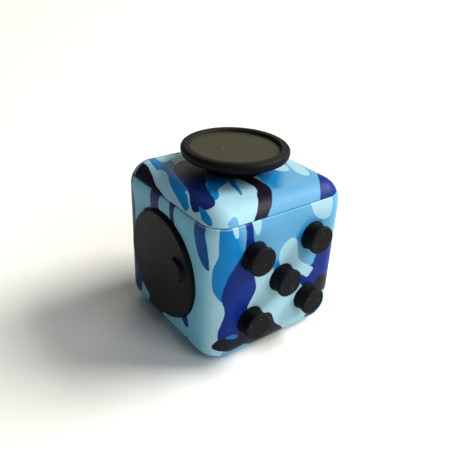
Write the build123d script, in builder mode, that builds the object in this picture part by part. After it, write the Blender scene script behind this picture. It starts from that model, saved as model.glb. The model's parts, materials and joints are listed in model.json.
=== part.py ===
from build123d import *

"""Pocket fidget cube with six play faces, built as separate pieces, in millimetres.

Frame: the origin is the centre of the bottom face and +Z points up through the glide pad.
    top    (+Z)  glide:   a thumb pad that slides two ways on a cross slide
    front  (-Y)  click:   five push buttons, laid out as the five on a die
    left   (-X)  spin:    a turning disc with a finger nub
    right  (+X)  flip:    a two-position rocker with a leaf-spring detent
    back   (+Y)  roll:    three toothed wheels on one axle, and a sprung ball
    bottom (-Z)  breathe: a shallow oval hollow for the thumb
"""

import os
from math import atan2, cos, degrees, radians, sin, sqrt, tan

os.makedirs("parts", exist_ok=True)

# ---------------------------------------------------------------- driving sizes: casing
SIDE = 33.0  # width and depth of the cube
HEIGHT = 33.0  # bottom face to top face
CORNER_R = 5.2  # upright corners, in plan
TOP_EDGE_R = 5.0
BOTTOM_EDGE_R = 4.4
WALL = 1.8
COVER_H = 2.8  # the seam, where cover and housing meet, below the top face
SEAM_GAP = 0.08
SEAM_BEVEL = 0.18  # on both sides of the seam
FUSE = 0.2  # how far a rib or boss runs into the wall that carries it

LIP_T = 0.9  # the cover's tongue, which drops inside the housing's mouth
LIP_DEPTH = 1.4
LIP_GAP = 0.08
POST_R = 1.7  # corner posts, bored for the cover's pins
POST_INSET = 3.8  # post axis to the outside faces
POST_DROP = 2.0  # top of the posts below the seam
COVER_POST_R = 1.3
PIN_R = 0.9
PIN_LENGTH = 3.6
PIN_GAP = 0.03
PIN_END_GAP = 0.5
POST_FACE_GAP = 0.05

HOLLOW_DEPTH = 1.7  # the thumb hollow in the bottom face
HOLLOW_HALF_X = 10.0
HOLLOW_HALF_Y = 8.0
HOLLOW_SKIN = 1.5
HOLLOW_EDGE_R = 0.5

# ---------------------------------------------------------------- driving sizes: small screws
SCREW_R = 0.72
SCREW_HEAD_R = 1.4
SCREW_HEAD_H = 0.8
PILOT_GAP = 0.03
PASS_GAP = 0.15
TIP_GAP = 0.5  # between a screw's end and the bottom of its pilot hole
BOSS_R = 1.6
PIN_CHAMFER = 0.12  # ends of steel pins

# ---------------------------------------------------------------- driving sizes: glide (top)
PAD_R = 10.75
PAD_TOP = 5.0  # rim top above the top face
PAD_RIM_T = 1.9
PAD_EQUATOR = 0.8  # widest point of the rim below its top
PAD_CROWN = 0.85  # rim's outer rounding, inwards from the widest point
PAD_LOWER = 0.5  # rim's lower rounding, inwards from the widest point
DISH_R = 8.85
DISH_DEPTH = 0.7
DISH_FILLET = 0.3
RIM_INNER = 0.4  # rim's inner rounding, outwards from the dish
NECK_FLARE = 0.8
HUB_R = 5.6
HUB_GAP = 0.1  # the hub's underside above the top face
STEM_R = 1.75
STEM_GAP = 0.04
GLIDE_TRAVEL = 1.3  # each way, along X and along Y
SLIDE_GAP = 0.1
SLIDER_HALF = 3.5
SLIDER_REACH = 1.1  # how far the slider's flange spreads under the cross slide
SLIDER_FLANGE_T = 1.3
SOCKET_DEPTH = 0.4  # the stem's end below the top of the flange
CROSS_T = 1.2
CROSS_CORNER_R = 0.8
CROSS_BAR = 2.6  # beside the slider
CROSS_END = 1.5  # past the slider's travel
RAIL_T = 1.2
STEM_SCREW_R = 0.95
STEM_SCREW_HEAD_R = 1.9
STEM_SCREW_HEAD_H = 1.1
STEM_SCREW_HOLD = 5.5  # screw length inside the stem
RETAINER_T = 1.2
RETAINER_CLEAR = 0.5  # screw bosses to the cross slide at its furthest
RETAINER_Y = 5.7  # screw axes
RETAINER_RING_T = 0.6
RETAINER_RING_GAP = 0.3
RETAINER_ACCESS_R = 2.3
RETAINER_SCREW_HOLD = 4.0
GLIDE_SPRING_H = 2.3
GLIDE_SPRING_WIDE_R = 4.2
GLIDE_SPRING_NARROW_R = 2.6
GLIDE_WIRE_R = 0.2
GLIDE_TURNS = 3

# ---------------------------------------------------------------- driving sizes: click (front)
CLICK_Z = 16.2
CLICK_PITCH = 7.2  # middle button to the outer ones, along X and along Z
BUTTON_R = 2.9
BUTTON_WAIST_R = 2.72
BUTTON_PROUD = 2.75
BUTTON_EDGE = 0.25
BUTTON_HEAD_T = 0.6  # straight side above the waist
BUTTON_FOOT = 0.2  # straight side below it, above the face
BUTTON_GAP = 0.12
BUTTON_TRAVEL = 1.5
BUTTON_FLANGE = 0.5  # flange past the button's side
BUTTON_FLANGE_T = 1.0
BUTTON_SEAT_GAP = 0.1  # flange to the inside of the wall, at rest
BUTTON_POST_R = 0.9
BUTTON_SPRING_H = 3.4
BACKPLATE_T = 1.2
BACKPLATE_RIM = 0.1  # plate past the spring cups
BACKPLATE_CORNER_R = 2.0
CUP_H = 0.9
CUP_T = 0.5
BUTTON_SPRING_R = 2.15
BUTTON_WIRE_R = 0.16
BUTTON_TURNS = 4
SPRING_SIDE_GAP = 0.12
SPRING_END_GAP = 0.03
DOME_R = 1.6
DOME_H = 0.3
DOME_CROWN_R = 0.7
DOME_T = 0.1
DOME_GAP = 0.02  # pressed button post to dome
CLICK_SCREW_PITCH = 8.0  # screw axes from the middle button
CLICK_SCREW_HOLD = 3.5

# ---------------------------------------------------------------- driving sizes: spin (left)
SPIN_Z = 16.2
DISC_R = 11.1
DISC_EDGE_R = 0.45
DISC_PROUD = 0.95
DISC_RECESS = 0.6
DISC_GAP = 0.25  # round the disc in its recess
DISC_BACK_GAP = 0.08
NUB_R = 2.6
NUB_TOP_R = 2.2
NUB_H = 0.75
NUB_EDGE_R = 0.2
NUB_Y = -6.5
NUB_Z = 2.4
SHAFT_R = 2.2
SHAFT_GAP = 0.04
BEARING_T = 2.2
BEARING_LENGTH = 1.6  # past the inside of the wall
SPIN_SCREW_HOLD = 2.9
WASHER_R = 3.6
WASHER_T = 0.5
WASHER_GAP = 0.12

# ---------------------------------------------------------------- driving sizes: flip (right)
FLIP_Z = 15.8
ROCKER_TILT = 10.0  # either side of the middle
ROCKER_HALF_LENGTH = 6.2
ROCKER_HALF_WIDTH = 4.2
ROCKER_PROUD = 0.35  # how far the pressed half stands out
ROCKER_SKIRT_V = 1.2  # lower edge of the rocker's ends, above the pivot
ROCKER_HUB_R = 1.8
ROCKER_EDGE_R = 0.35
ROCKER_HAUNCH = 0.6
WINDOW_GAP = 0.2
WINDOW_CORNER_R = 0.8
PIVOT_DEPTH = 3.3  # below the outside of the wall
PIVOT_PIN_R = 0.75
PIVOT_PIN_GAP = 0.04
NOSE_R = 0.5
NOSE_REACH = 3.6  # pivot to the middle of the nose
BUMP_R = 0.4
BUMP_GAP = 0.04  # nose to the leaf's bump, at rest
LEAF_T = 0.25
LEAF_HALF_WIDTH = 2.0
LEAF_HALF_LENGTH = 6.0
LEAF_DROP = 0.5  # middle of the bump above the leaf's flat
LEAF_GIVE = 0.35  # room for the leaf to bend
EAR_T = 1.0
EAR_GAP = 0.1
EAR_HALF_LENGTH = 3.0  # at the top; the foot is wider by the spread
EAR_SPREAD = 1.5
FRAME_FLOOR_T = 1.0
CRADLE_MARGIN = 0.6  # floor past the leaf's sides
STEP_LENGTH = 0.9  # the leaf's end on its step
STOP_T = 0.8  # end stops, past the leaf's ends
STOP_GAP = 0.05
STOP_H = 0.4  # above the leaf
FRAME_WALL_GAP = 0.1
TAB_CLEAR = 0.3  # screw bosses to the ears
TAB_DEPTH = 4.2  # below the outside of the wall
TAB_T = 1.2
TAB_SCREW_HOLD = 1.9

# ---------------------------------------------------------------- driving sizes: roll (back)
WHEEL_Z = 22.0
WHEEL_R = 5.0
WHEEL_REACH = 8.7  # outside of the wall to the wheels' inner side
WHEEL_W = 2.0
WHEEL_PITCH = 3.4
WHEEL_COUNT = 3
WHEEL_TEETH = 12
SCALLOP_R = 0.8
SCALLOP_OUT = 0.1  # middles of the scallops beyond the tips
WHEEL_EDGE = 0.15
WELL_SIDE_GAP = 0.25
WELL_END_GAP = 0.25
HUB_SIDE_R = 1.7
HUB_SIDE_GAP = 0.1
AXLE_R = 1.0
AXLE_GAP = 0.05
SADDLE_T = 1.2
SADDLE_GAP = 0.02
SADDLE_WALL = 1.0  # saddle block past the axle
BALL_Z = 9.5
BALL_R = 3.5
BALL_PROUD = 1.8
BALL_GAP = 0.1
BALL_TRAVEL = 0.9
SEAT_R = 4.3
SEAT_GAP = 0.1
SEAT_RIM_DEPTH = 3.2  # below the outside of the wall
SEAT_BASE_T = 1.4
TUBE_T = 1.0
TUBE_SPARE = 0.4  # tube past the seat when it is pressed in
BRACKET_T = 1.2
BRACKET_CLEAR = 0.55  # screw bosses to the saddles
BRACKET_RIM = 0.2  # bracket past its upper bosses
BRACKET_FOOT = 4.5  # bracket below the ball's middle
PEG_H = 0.8
KEEPER_GAP = 0.05
KEEPER_SIDE_GAP = 0.1
BRACKET_SCREW_HOLD = 5.0
BALL_SPRING_R = 3.0
BALL_WIRE_R = 0.22
BALL_TURNS = 4
COMB_T = 0.2
COMB_BITE = 0.2  # how far a finger's bump runs into the finger
COMB_LIFT = 0.5  # ledge that carries the comb
COMB_ROOT_H = 2.4
FINGER_REACH = 4.0  # comb's root to the axle's height
FINGER_HALF_W = 0.75
FINGER_BUMP_R = 0.4
FINGER_TIP = 0.8  # finger past its bump
STAKE_R = 0.45
STAKE_HEAD_R = 0.75
STAKE_HEAD_T = 0.25
STAKE_GAP = 0.03
STAKE_X = 1.7

# ---------------------------------------------------------------- planes of the faces
# Each side plane has its Z pointing out of the cube and its Y pointing up.
top = Plane.XY.offset(HEIGHT)
front = Plane(origin=(0, -SIDE / 2, CLICK_Z), x_dir=(1, 0, 0), z_dir=(0, -1, 0))
left = Plane(origin=(-SIDE / 2, 0, SPIN_Z), x_dir=(0, -1, 0), z_dir=(-1, 0, 0))
right = Plane(origin=(SIDE / 2, 0, FLIP_Z), x_dir=(0, 1, 0), z_dir=(1, 0, 0))
back = Plane(origin=(0, SIDE / 2, 0), x_dir=(-1, 0, 0), z_dir=(0, 1, 0))

# ---------------------------------------------------------------- sizes worked out from the above
# casing
seam_z = HEIGHT - COVER_H
cover_under_z = HEIGHT - WALL
post_xy = SIDE / 2 - POST_INSET
post_top_z = seam_z - POST_DROP
post_points = [(x * post_xy, y * post_xy) for x in (-1, 1) for y in (-1, 1)]
lip_side = SIDE - 2 * (WALL + LIP_GAP)
# glide
cross_top_z = cover_under_z - SLIDE_GAP
cross_bottom_z = cross_top_z - CROSS_T
flange_top_z = cross_bottom_z - SLIDE_GAP
flange_bottom_z = flange_top_z - SLIDER_FLANGE_T
stem_end_z = flange_top_z - SOCKET_DEPTH
retainer_top_z = flange_bottom_z - GLIDE_SPRING_H
cross_half_x = SLIDER_HALF + SLIDE_GAP + CROSS_BAR
cross_half_y = SLIDER_HALF + GLIDE_TRAVEL + SLIDE_GAP + CROSS_END
retainer_x = cross_half_x + GLIDE_TRAVEL + RETAINER_CLEAR + BOSS_R
retainer_points = [(x * retainer_x, y * RETAINER_Y) for x in (-1, 1) for y in (-1, 1)]
glide_hole_r = STEM_R + GLIDE_TRAVEL * sqrt(2) + SLIDE_GAP
spring_ring_r = GLIDE_SPRING_WIDE_R + GLIDE_WIRE_R + RETAINER_RING_GAP
rail_y = cross_half_y + SLIDE_GAP + RAIL_T / 2
# click
click_points = {
    "middle": (0, 0),
    "top_left": (-CLICK_PITCH, CLICK_PITCH),
    "top_right": (CLICK_PITCH, CLICK_PITCH),
    "bottom_left": (-CLICK_PITCH, -CLICK_PITCH),
    "bottom_right": (CLICK_PITCH, -CLICK_PITCH),
}
clicking = ("top_left", "top_right", "bottom_right")  # these have a snap dome; the others are silent
click_screw_points = [(x * CLICK_SCREW_PITCH, 0) for x in (-1, 1)]
click_screw_points += [(0, y * CLICK_SCREW_PITCH) for y in (-1, 1)]
flange_front = WALL + BUTTON_SEAT_GAP
flange_back = flange_front + BUTTON_FLANGE_T
backplate_depth = flange_back + BUTTON_SPRING_H
flange_r = BUTTON_R + BUTTON_FLANGE
button_end = backplate_depth - DOME_H - DOME_GAP - BUTTON_TRAVEL
cup_r = BUTTON_SPRING_R + BUTTON_WIRE_R + SPRING_SIDE_GAP
backplate_half = CLICK_PITCH + cup_r + CUP_T + BACKPLATE_RIM
# spin
disc_back = DISC_RECESS - DISC_BACK_GAP
bearing_end = WALL + BEARING_LENGTH
shaft_end = bearing_end + WASHER_GAP
# flip, measured from the pivot
face_middle = (PIVOT_DEPTH + ROCKER_PROUD) / cos(radians(ROCKER_TILT))
face_end = face_middle + ROCKER_HALF_LENGTH * tan(radians(ROCKER_TILT))
window_half = ROCKER_HALF_LENGTH * cos(radians(ROCKER_TILT)) + face_end * sin(radians(ROCKER_TILT))
nose_side = NOSE_REACH * sin(radians(ROCKER_TILT))
nose_down = NOSE_REACH * cos(radians(ROCKER_TILT))
bump_down = nose_down + sqrt((NOSE_R + BUMP_R + BUMP_GAP) ** 2 - nose_side**2)
bump_inner_r = BUMP_R - LEAF_T
leaf_face = bump_down + LEAF_DROP
frame_floor = leaf_face + LEAF_T + LEAF_GIVE
ear_inside = ROCKER_HALF_WIDTH + EAR_GAP
ear_outside = ear_inside + EAR_T
ear_top = PIVOT_DEPTH - WALL - FRAME_WALL_GAP
tab_y = ear_outside + TAB_CLEAR + BOSS_R
tab_points = [(-tab_y, 0), (tab_y, 0)]
# roll
axle_depth = WHEEL_REACH - WHEEL_R
axle_y = SIDE / 2 - axle_depth
wheel_xs = [(i - (WHEEL_COUNT - 1) / 2) * WHEEL_PITCH for i in range(WHEEL_COUNT)]
hub_half = (WHEEL_PITCH - HUB_SIDE_GAP) / 2
saddle_inside = wheel_xs[-1] + hub_half + HUB_SIDE_GAP
saddle_outside = saddle_inside + SADDLE_T
saddle_xs = [s * (saddle_inside + saddle_outside) / 2 for s in (-1, 1)]
saddle_depth = axle_depth + AXLE_R
ball_depth = BALL_R - BALL_PROUD
ball_y = SIDE / 2 - ball_depth
seat_back = ball_depth + BALL_R + BALL_GAP + SEAT_BASE_T
tube_r = SEAT_R + SEAT_GAP
tube_end = seat_back + BALL_TRAVEL + TUBE_SPARE
bracket_x = saddle_outside + BRACKET_CLEAR + BOSS_R
bracket_points = [(x * bracket_x, z) for x in (-1, 1) for z in (BALL_Z, WHEEL_Z)]
bracket_top_z = WHEEL_Z + BOSS_R + BRACKET_RIM
bracket_bottom_z = BALL_Z - BRACKET_FOOT
bump_depth = axle_depth + WHEEL_R + SCALLOP_OUT
comb_front = bump_depth + FINGER_BUMP_R - COMB_BITE
comb_back = comb_front + COMB_T
bracket_depth = comb_back + COMB_LIFT
comb_high_z = WHEEL_Z - FINGER_REACH
comb_low_z = comb_high_z - COMB_ROOT_H
comb_points = [(x, (comb_low_z + comb_high_z) / 2) for x in (-STAKE_X, STAKE_X)]


def keep(name, part):
    """Names a finished piece and writes it as parts/NAME.step."""
    part.label = name
    export_step(part, f"parts/{name}.step")


def inward(face, depth):
    """A plane at a depth below a face, with its Z pointing into the cube."""
    return Plane(
        origin=face.offset(-depth).origin,
        x_dir=(-face.x_dir.X, -face.x_dir.Y, -face.x_dir.Z),
        z_dir=(-face.z_dir.X, -face.z_dir.Y, -face.z_dir.Z),
    )


def profile(face, x, y):
    """A plane for turned profiles: its origin at a point of the face, its Y pointing out of the cube."""
    return Plane(
        origin=face.from_local_coords((x, y, 0)),
        x_dir=face.x_dir,
        z_dir=face.x_dir.cross(face.z_dir),
    )


def rounded_block(side, z_low, z_high, corner, top_edge, bottom_edge):
    """A block with a rounded-square plan, and rounded top and bottom edges where a radius is given."""
    with BuildPart() as block:
        with BuildSketch(Plane.XY.offset(z_low)):
            RectangleRounded(side, side, corner)
        extrude(amount=z_high - z_low)
        if top_edge:
            fillet(block.edges().group_by(Axis.Z)[-1], radius=top_edge)
        if bottom_edge:
            fillet(block.edges().group_by(Axis.Z)[0], radius=bottom_edge)
    return block.part


def barrel(depth, half_x, half_y):
    """A barrel lying along X that rises to depth and crosses Z = 0 in an oval of the given half sizes."""
    axis_z = depth - (half_y**2 + depth**2) / (2 * depth)
    with BuildPart() as tool:
        with BuildSketch(Plane.XZ):
            with BuildLine():
                ThreePointArc((-half_x, 0), (0, depth), (half_x, 0))
                Polyline((half_x, 0), (half_x, axis_z), (-half_x, axis_z), (-half_x, 0))
            make_face()
        revolve(axis=Axis((0, 0, axis_z), (1, 0, 0)))
    return tool.part


def screws(plane, points, length, shank_r=SCREW_R, head_r=SCREW_HEAD_R, head_h=SCREW_HEAD_H):
    """Pan-head screws with a cross recess: the heads stand on the plane and the shanks run behind it."""
    slot = head_r * 1.2
    slot_w = head_r * 0.3
    with BuildPart() as group:
        with BuildSketch(plane):
            with Locations(*points):
                Circle(head_r)
        extrude(amount=head_h)
        out = Axis(plane.origin, plane.z_dir)
        fillet(group.edges().group_by(out)[-1], radius=head_h * 0.4)
        with BuildSketch(plane):
            with Locations(*points):
                Circle(shank_r)
        extrude(amount=-length)
        chamfer(group.edges().group_by(out)[0], length=shank_r * 0.4)
        with BuildSketch(plane.offset(head_h)):
            with Locations(*points):
                Rectangle(slot, slot_w)
                Rectangle(slot_w, slot)
        extrude(amount=-head_h * 0.5, mode=Mode.SUBTRACT)
    return group.part


def coil(plane, radius, end_radius, wire_r, height, turns):
    """A round-wire spring that stands on the plane and rises along its Z, from radius to end_radius."""
    rise = height - 2 * wire_r
    with BuildPart() as spring:
        with BuildLine() as path:
            Helix(
                pitch=rise / turns,
                height=rise,
                radius=radius,
                center=plane.offset(wire_r).origin,
                direction=plane.z_dir,
                cone_angle=degrees(atan2(end_radius - radius, rise)),
            )
        with BuildSketch(Plane(origin=path.line @ 0, z_dir=path.line % 0)):
            Circle(wire_r)
        sweep(is_frenet=True)
    return spring.part


# ================================================================ casing
outside = rounded_block(SIDE, 0, HEIGHT, CORNER_R, TOP_EDGE_R, BOTTOM_EDGE_R)
housing_room = rounded_block(
    SIDE - 2 * WALL, WALL, 2 * HEIGHT, CORNER_R - WALL, 0, BOTTOM_EDGE_R - WALL
)
cover_room = rounded_block(
    SIDE - 2 * (WALL + LIP_T),
    seam_z - 2 * LIP_DEPTH,
    cover_under_z,
    CORNER_R - WALL - LIP_T,
    TOP_EDGE_R - WALL - LIP_T,
    0,
)
with BuildPart() as hollow_skin:
    add(barrel(HOLLOW_DEPTH + HOLLOW_SKIN, HOLLOW_HALF_X + HOLLOW_SKIN, HOLLOW_HALF_Y + HOLLOW_SKIN))
    split(bisect_by=Plane.XY.offset(WALL - FUSE), keep=Keep.TOP)

with BuildPart() as main_housing:
    add(outside)
    split(bisect_by=Plane.XY.offset(seam_z), keep=Keep.BOTTOM)
    chamfer(main_housing.faces().sort_by(Axis.Z)[-1].outer_wire().edges(), length=SEAM_BEVEL)
    add(housing_room, mode=Mode.SUBTRACT)
    # breathe face: the hollow, with its skin standing up inside
    add(hollow_skin.part)
    add(barrel(HOLLOW_DEPTH, HOLLOW_HALF_X, HOLLOW_HALF_Y), mode=Mode.SUBTRACT)
    rest_face = main_housing.faces().sort_by(Axis.Z)[0]
    fillet(rest_face.inner_wires()[0].edges(), radius=HOLLOW_EDGE_R)
    # corner posts
    with BuildSketch(Plane.XY.offset(WALL - FUSE)):
        with Locations(*post_points):
            Circle(POST_R)
    extrude(amount=post_top_z - WALL + FUSE)
    with BuildSketch(Plane.XY.offset(post_top_z)):
        with Locations(*post_points):
            Circle(PIN_R + PIN_GAP)
    extrude(amount=-PIN_LENGTH - PIN_END_GAP, mode=Mode.SUBTRACT)
    # click face: button holes, and bosses for the back plate
    with BuildSketch(front):
        with Locations(*click_points.values()):
            Circle(BUTTON_R + BUTTON_GAP)
    extrude(amount=-2 * WALL, mode=Mode.SUBTRACT)
    with BuildSketch(front.offset(-backplate_depth)):
        with Locations(*click_screw_points):
            Circle(BOSS_R)
    extrude(amount=backplate_depth - WALL + FUSE)
    with BuildSketch(front.offset(-backplate_depth)):
        with Locations(*click_screw_points):
            Circle(SCREW_R + PILOT_GAP)
    extrude(amount=CLICK_SCREW_HOLD + TIP_GAP, mode=Mode.SUBTRACT)
    # spin face: bearing, recess and bore
    with BuildSketch(left.offset(-bearing_end)):
        Circle(SHAFT_R + BEARING_T)
    extrude(amount=BEARING_LENGTH + FUSE)
    with BuildSketch(left):
        Circle(DISC_R + DISC_GAP)
    extrude(amount=-DISC_RECESS, mode=Mode.SUBTRACT)
    with BuildSketch(left):
        Circle(SHAFT_R + SHAFT_GAP)
    extrude(amount=-bearing_end, mode=Mode.SUBTRACT)
    # flip face: window, and bosses for the rocker frame
    with BuildSketch(right):
        RectangleRounded(
            2 * (ROCKER_HALF_WIDTH + WINDOW_GAP), 2 * (window_half + WINDOW_GAP), WINDOW_CORNER_R
        )
    extrude(amount=-2 * WALL, mode=Mode.SUBTRACT)
    with BuildSketch(right.offset(-TAB_DEPTH)):
        with Locations(*tab_points):
            Circle(BOSS_R)
    extrude(amount=TAB_DEPTH - WALL + FUSE)
    with BuildSketch(right.offset(-TAB_DEPTH)):
        with Locations(*tab_points):
            Circle(SCREW_R + PILOT_GAP)
    extrude(amount=TAB_SCREW_HOLD + TIP_GAP, mode=Mode.SUBTRACT)
    # roll face: axle saddles, bosses for the bracket, and the ball's tube
    with BuildSketch(back.offset(-saddle_depth)):
        with Locations(*[(x, WHEEL_Z) for x in saddle_xs]):
            Rectangle(SADDLE_T, 2 * (AXLE_R + SADDLE_WALL))
    extrude(amount=saddle_depth - WALL + FUSE)
    with BuildSketch(Plane.YZ.offset(-saddle_outside)):
        with Locations((axle_y, WHEEL_Z)):
            Circle(AXLE_R + SADDLE_GAP)
        with Locations((axle_y - AXLE_R, WHEEL_Z)):
            Rectangle(2 * AXLE_R, 2 * (AXLE_R + SADDLE_GAP))
    extrude(amount=2 * saddle_outside, mode=Mode.SUBTRACT)
    with BuildSketch(back.offset(-bracket_depth)):
        with Locations(*bracket_points):
            Circle(BOSS_R)
    extrude(amount=bracket_depth - WALL + FUSE)
    with BuildSketch(back.offset(-bracket_depth)):
        with Locations(*bracket_points):
            Circle(SCREW_R + PILOT_GAP)
    extrude(amount=BRACKET_SCREW_HOLD + TIP_GAP, mode=Mode.SUBTRACT)
    with BuildSketch(back.offset(-tube_end)):
        with Locations((0, BALL_Z)):
            Circle(tube_r + TUBE_T)
            Circle(tube_r, mode=Mode.SUBTRACT)
    extrude(amount=tube_end - WALL + FUSE)
    with Locations((0, ball_y, BALL_Z)):
        Sphere(BALL_R + BALL_GAP, mode=Mode.SUBTRACT)
    for x in wheel_xs:
        with BuildSketch(Plane.YZ.offset(x - WHEEL_W / 2 - WELL_SIDE_GAP)):
            with Locations((axle_y, WHEEL_Z)):
                Circle(WHEEL_R + WELL_END_GAP)
        extrude(amount=WHEEL_W + 2 * WELL_SIDE_GAP, mode=Mode.SUBTRACT)
keep("main_housing", main_housing.part)

with BuildPart() as top_cover:
    add(outside)
    split(bisect_by=Plane.XY.offset(seam_z + SEAM_GAP), keep=Keep.TOP)
    chamfer(top_cover.faces().sort_by(Axis.Z)[0].outer_wire().edges(), length=SEAM_BEVEL)
    # the tongue inside the housing's mouth
    with BuildSketch(Plane.XY.offset(seam_z - LIP_DEPTH)):
        RectangleRounded(lip_side, lip_side, CORNER_R - WALL - LIP_GAP)
    extrude(amount=LIP_DEPTH + SEAM_GAP + FUSE)
    add(cover_room, mode=Mode.SUBTRACT)
    # corner pins that press into the housing's posts
    with BuildSketch(Plane.XY.offset(post_top_z + POST_FACE_GAP)):
        with Locations(*post_points):
            Circle(COVER_POST_R)
    extrude(amount=cover_under_z - post_top_z)
    with BuildSketch(Plane.XY.offset(post_top_z - PIN_LENGTH)):
        with Locations(*post_points):
            Circle(PIN_R)
    extrude(amount=PIN_LENGTH + FUSE)
    # rails for the cross slide, and bosses for the retainer
    with BuildSketch(Plane.XY.offset(cross_bottom_z)):
        with Locations((0, -rail_y), (0, rail_y)):
            Rectangle(2 * (cross_half_x + GLIDE_TRAVEL), RAIL_T)
    extrude(amount=cover_under_z - cross_bottom_z + FUSE)
    with BuildSketch(Plane.XY.offset(retainer_top_z)):
        with Locations(*retainer_points):
            Circle(BOSS_R)
    extrude(amount=cover_under_z - retainer_top_z + FUSE)
    with BuildSketch(Plane.XY.offset(retainer_top_z)):
        with Locations(*retainer_points):
            Circle(SCREW_R + PILOT_GAP)
    extrude(amount=RETAINER_SCREW_HOLD + TIP_GAP, mode=Mode.SUBTRACT)
    # the opening that the pad's stem moves in
    with BuildSketch(top):
        Circle(glide_hole_r)
    extrude(amount=-2 * WALL, mode=Mode.SUBTRACT)
keep("top_cover", top_cover.part)

# ================================================================ glide, on the top
rim_z = HEIGHT + PAD_TOP
widest_z = rim_z - PAD_EQUATOR
rim_low_z = rim_z - PAD_RIM_T
dish_z = rim_z - DISH_DEPTH
hub_z = HEIGHT + HUB_GAP
with BuildPart() as glide_pad:
    with BuildSketch(Plane.XZ):
        with BuildLine():
            Polyline((0, stem_end_z), (0, dish_z), (DISH_R - DISH_FILLET, dish_z))
            RadiusArc((DISH_R - DISH_FILLET, dish_z), (DISH_R, dish_z + DISH_FILLET), -DISH_FILLET)
            RadiusArc((DISH_R, dish_z + DISH_FILLET), (DISH_R + RIM_INNER, rim_z), RIM_INNER)
            Line((DISH_R + RIM_INNER, rim_z), (PAD_R - PAD_CROWN, rim_z))
            EllipticalCenterArc((PAD_R - PAD_CROWN, widest_z), PAD_CROWN, PAD_EQUATOR, arc_size=90)
            EllipticalCenterArc(
                (PAD_R - PAD_LOWER, widest_z), PAD_LOWER, PAD_RIM_T - PAD_EQUATOR, 270, arc_size=90
            )
            Polyline(
                (PAD_R - PAD_LOWER, rim_low_z),
                (HUB_R + NECK_FLARE, rim_low_z - NECK_FLARE),
                (HUB_R, rim_low_z - 2 * NECK_FLARE),
                (HUB_R, hub_z),
                (STEM_R, hub_z),
                (STEM_R, stem_end_z),
                (0, stem_end_z),
            )
        make_face()
    revolve(axis=Axis.Z)
    with BuildSketch(Plane.XY.offset(stem_end_z)):
        Circle(STEM_SCREW_R + PILOT_GAP)
    extrude(amount=STEM_SCREW_HOLD + TIP_GAP, mode=Mode.SUBTRACT)
keep("glide_pad", glide_pad.part)

with BuildPart() as glide_cross_slide:
    with BuildSketch(Plane.XY.offset(cross_bottom_z)):
        RectangleRounded(2 * cross_half_x, 2 * cross_half_y, CROSS_CORNER_R)
        Rectangle(
            2 * (SLIDER_HALF + SLIDE_GAP),
            2 * (SLIDER_HALF + GLIDE_TRAVEL + SLIDE_GAP),
            mode=Mode.SUBTRACT,
        )
    extrude(amount=CROSS_T)
keep("glide_cross_slide", glide_cross_slide.part)

with BuildPart() as glide_slider:
    with BuildSketch(Plane.XY.offset(flange_bottom_z)):
        Rectangle(2 * (SLIDER_HALF + SLIDER_REACH), 2 * SLIDER_HALF)
    extrude(amount=SLIDER_FLANGE_T)
    with BuildSketch(Plane.XY.offset(flange_bottom_z)):
        Rectangle(2 * SLIDER_HALF, 2 * SLIDER_HALF)
    extrude(amount=cross_top_z - flange_bottom_z)
    with BuildSketch(Plane.XY.offset(stem_end_z)):
        Circle(STEM_R + STEM_GAP)
    extrude(amount=cross_top_z - stem_end_z, mode=Mode.SUBTRACT)
    with BuildSketch(Plane.XY.offset(flange_bottom_z)):
        Circle(STEM_SCREW_R + PASS_GAP)
    extrude(amount=SLIDER_FLANGE_T, mode=Mode.SUBTRACT)
keep("glide_slider", glide_slider.part)

keep(
    "glide_screw",
    screws(
        inward(top, HEIGHT - flange_bottom_z),
        [(0, 0)],
        stem_end_z - flange_bottom_z + STEM_SCREW_HOLD,
        STEM_SCREW_R,
        STEM_SCREW_HEAD_R,
        STEM_SCREW_HEAD_H,
    ),
)

with BuildPart() as glide_retainer:
    with BuildSketch(Plane.XY.offset(retainer_top_z)):
        RectangleRounded(2 * (retainer_x + BOSS_R), 2 * (RETAINER_Y + BOSS_R), BOSS_R)
        Circle(RETAINER_ACCESS_R, mode=Mode.SUBTRACT)
        with Locations(*retainer_points):
            Circle(SCREW_R + PASS_GAP, mode=Mode.SUBTRACT)
    extrude(amount=-RETAINER_T)
    # a low ring that keeps the spring's wide end in place
    with BuildSketch(Plane.XY.offset(retainer_top_z - FUSE)):
        Circle(spring_ring_r + RETAINER_RING_T)
        Circle(spring_ring_r, mode=Mode.SUBTRACT)
    extrude(amount=RETAINER_RING_T + FUSE)
keep("glide_retainer", glide_retainer.part)

keep(
    "retainer_screws",
    screws(
        inward(top, HEIGHT - retainer_top_z + RETAINER_T),
        retainer_points,
        RETAINER_T + RETAINER_SCREW_HOLD,
    ),
)
keep(
    "glide_spring",
    coil(
        Plane.XY.offset(retainer_top_z + SPRING_END_GAP),
        GLIDE_SPRING_WIDE_R,
        GLIDE_SPRING_NARROW_R,
        GLIDE_WIRE_R,
        GLIDE_SPRING_H - 2 * SPRING_END_GAP,
        GLIDE_TURNS,
    ),
)

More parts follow.
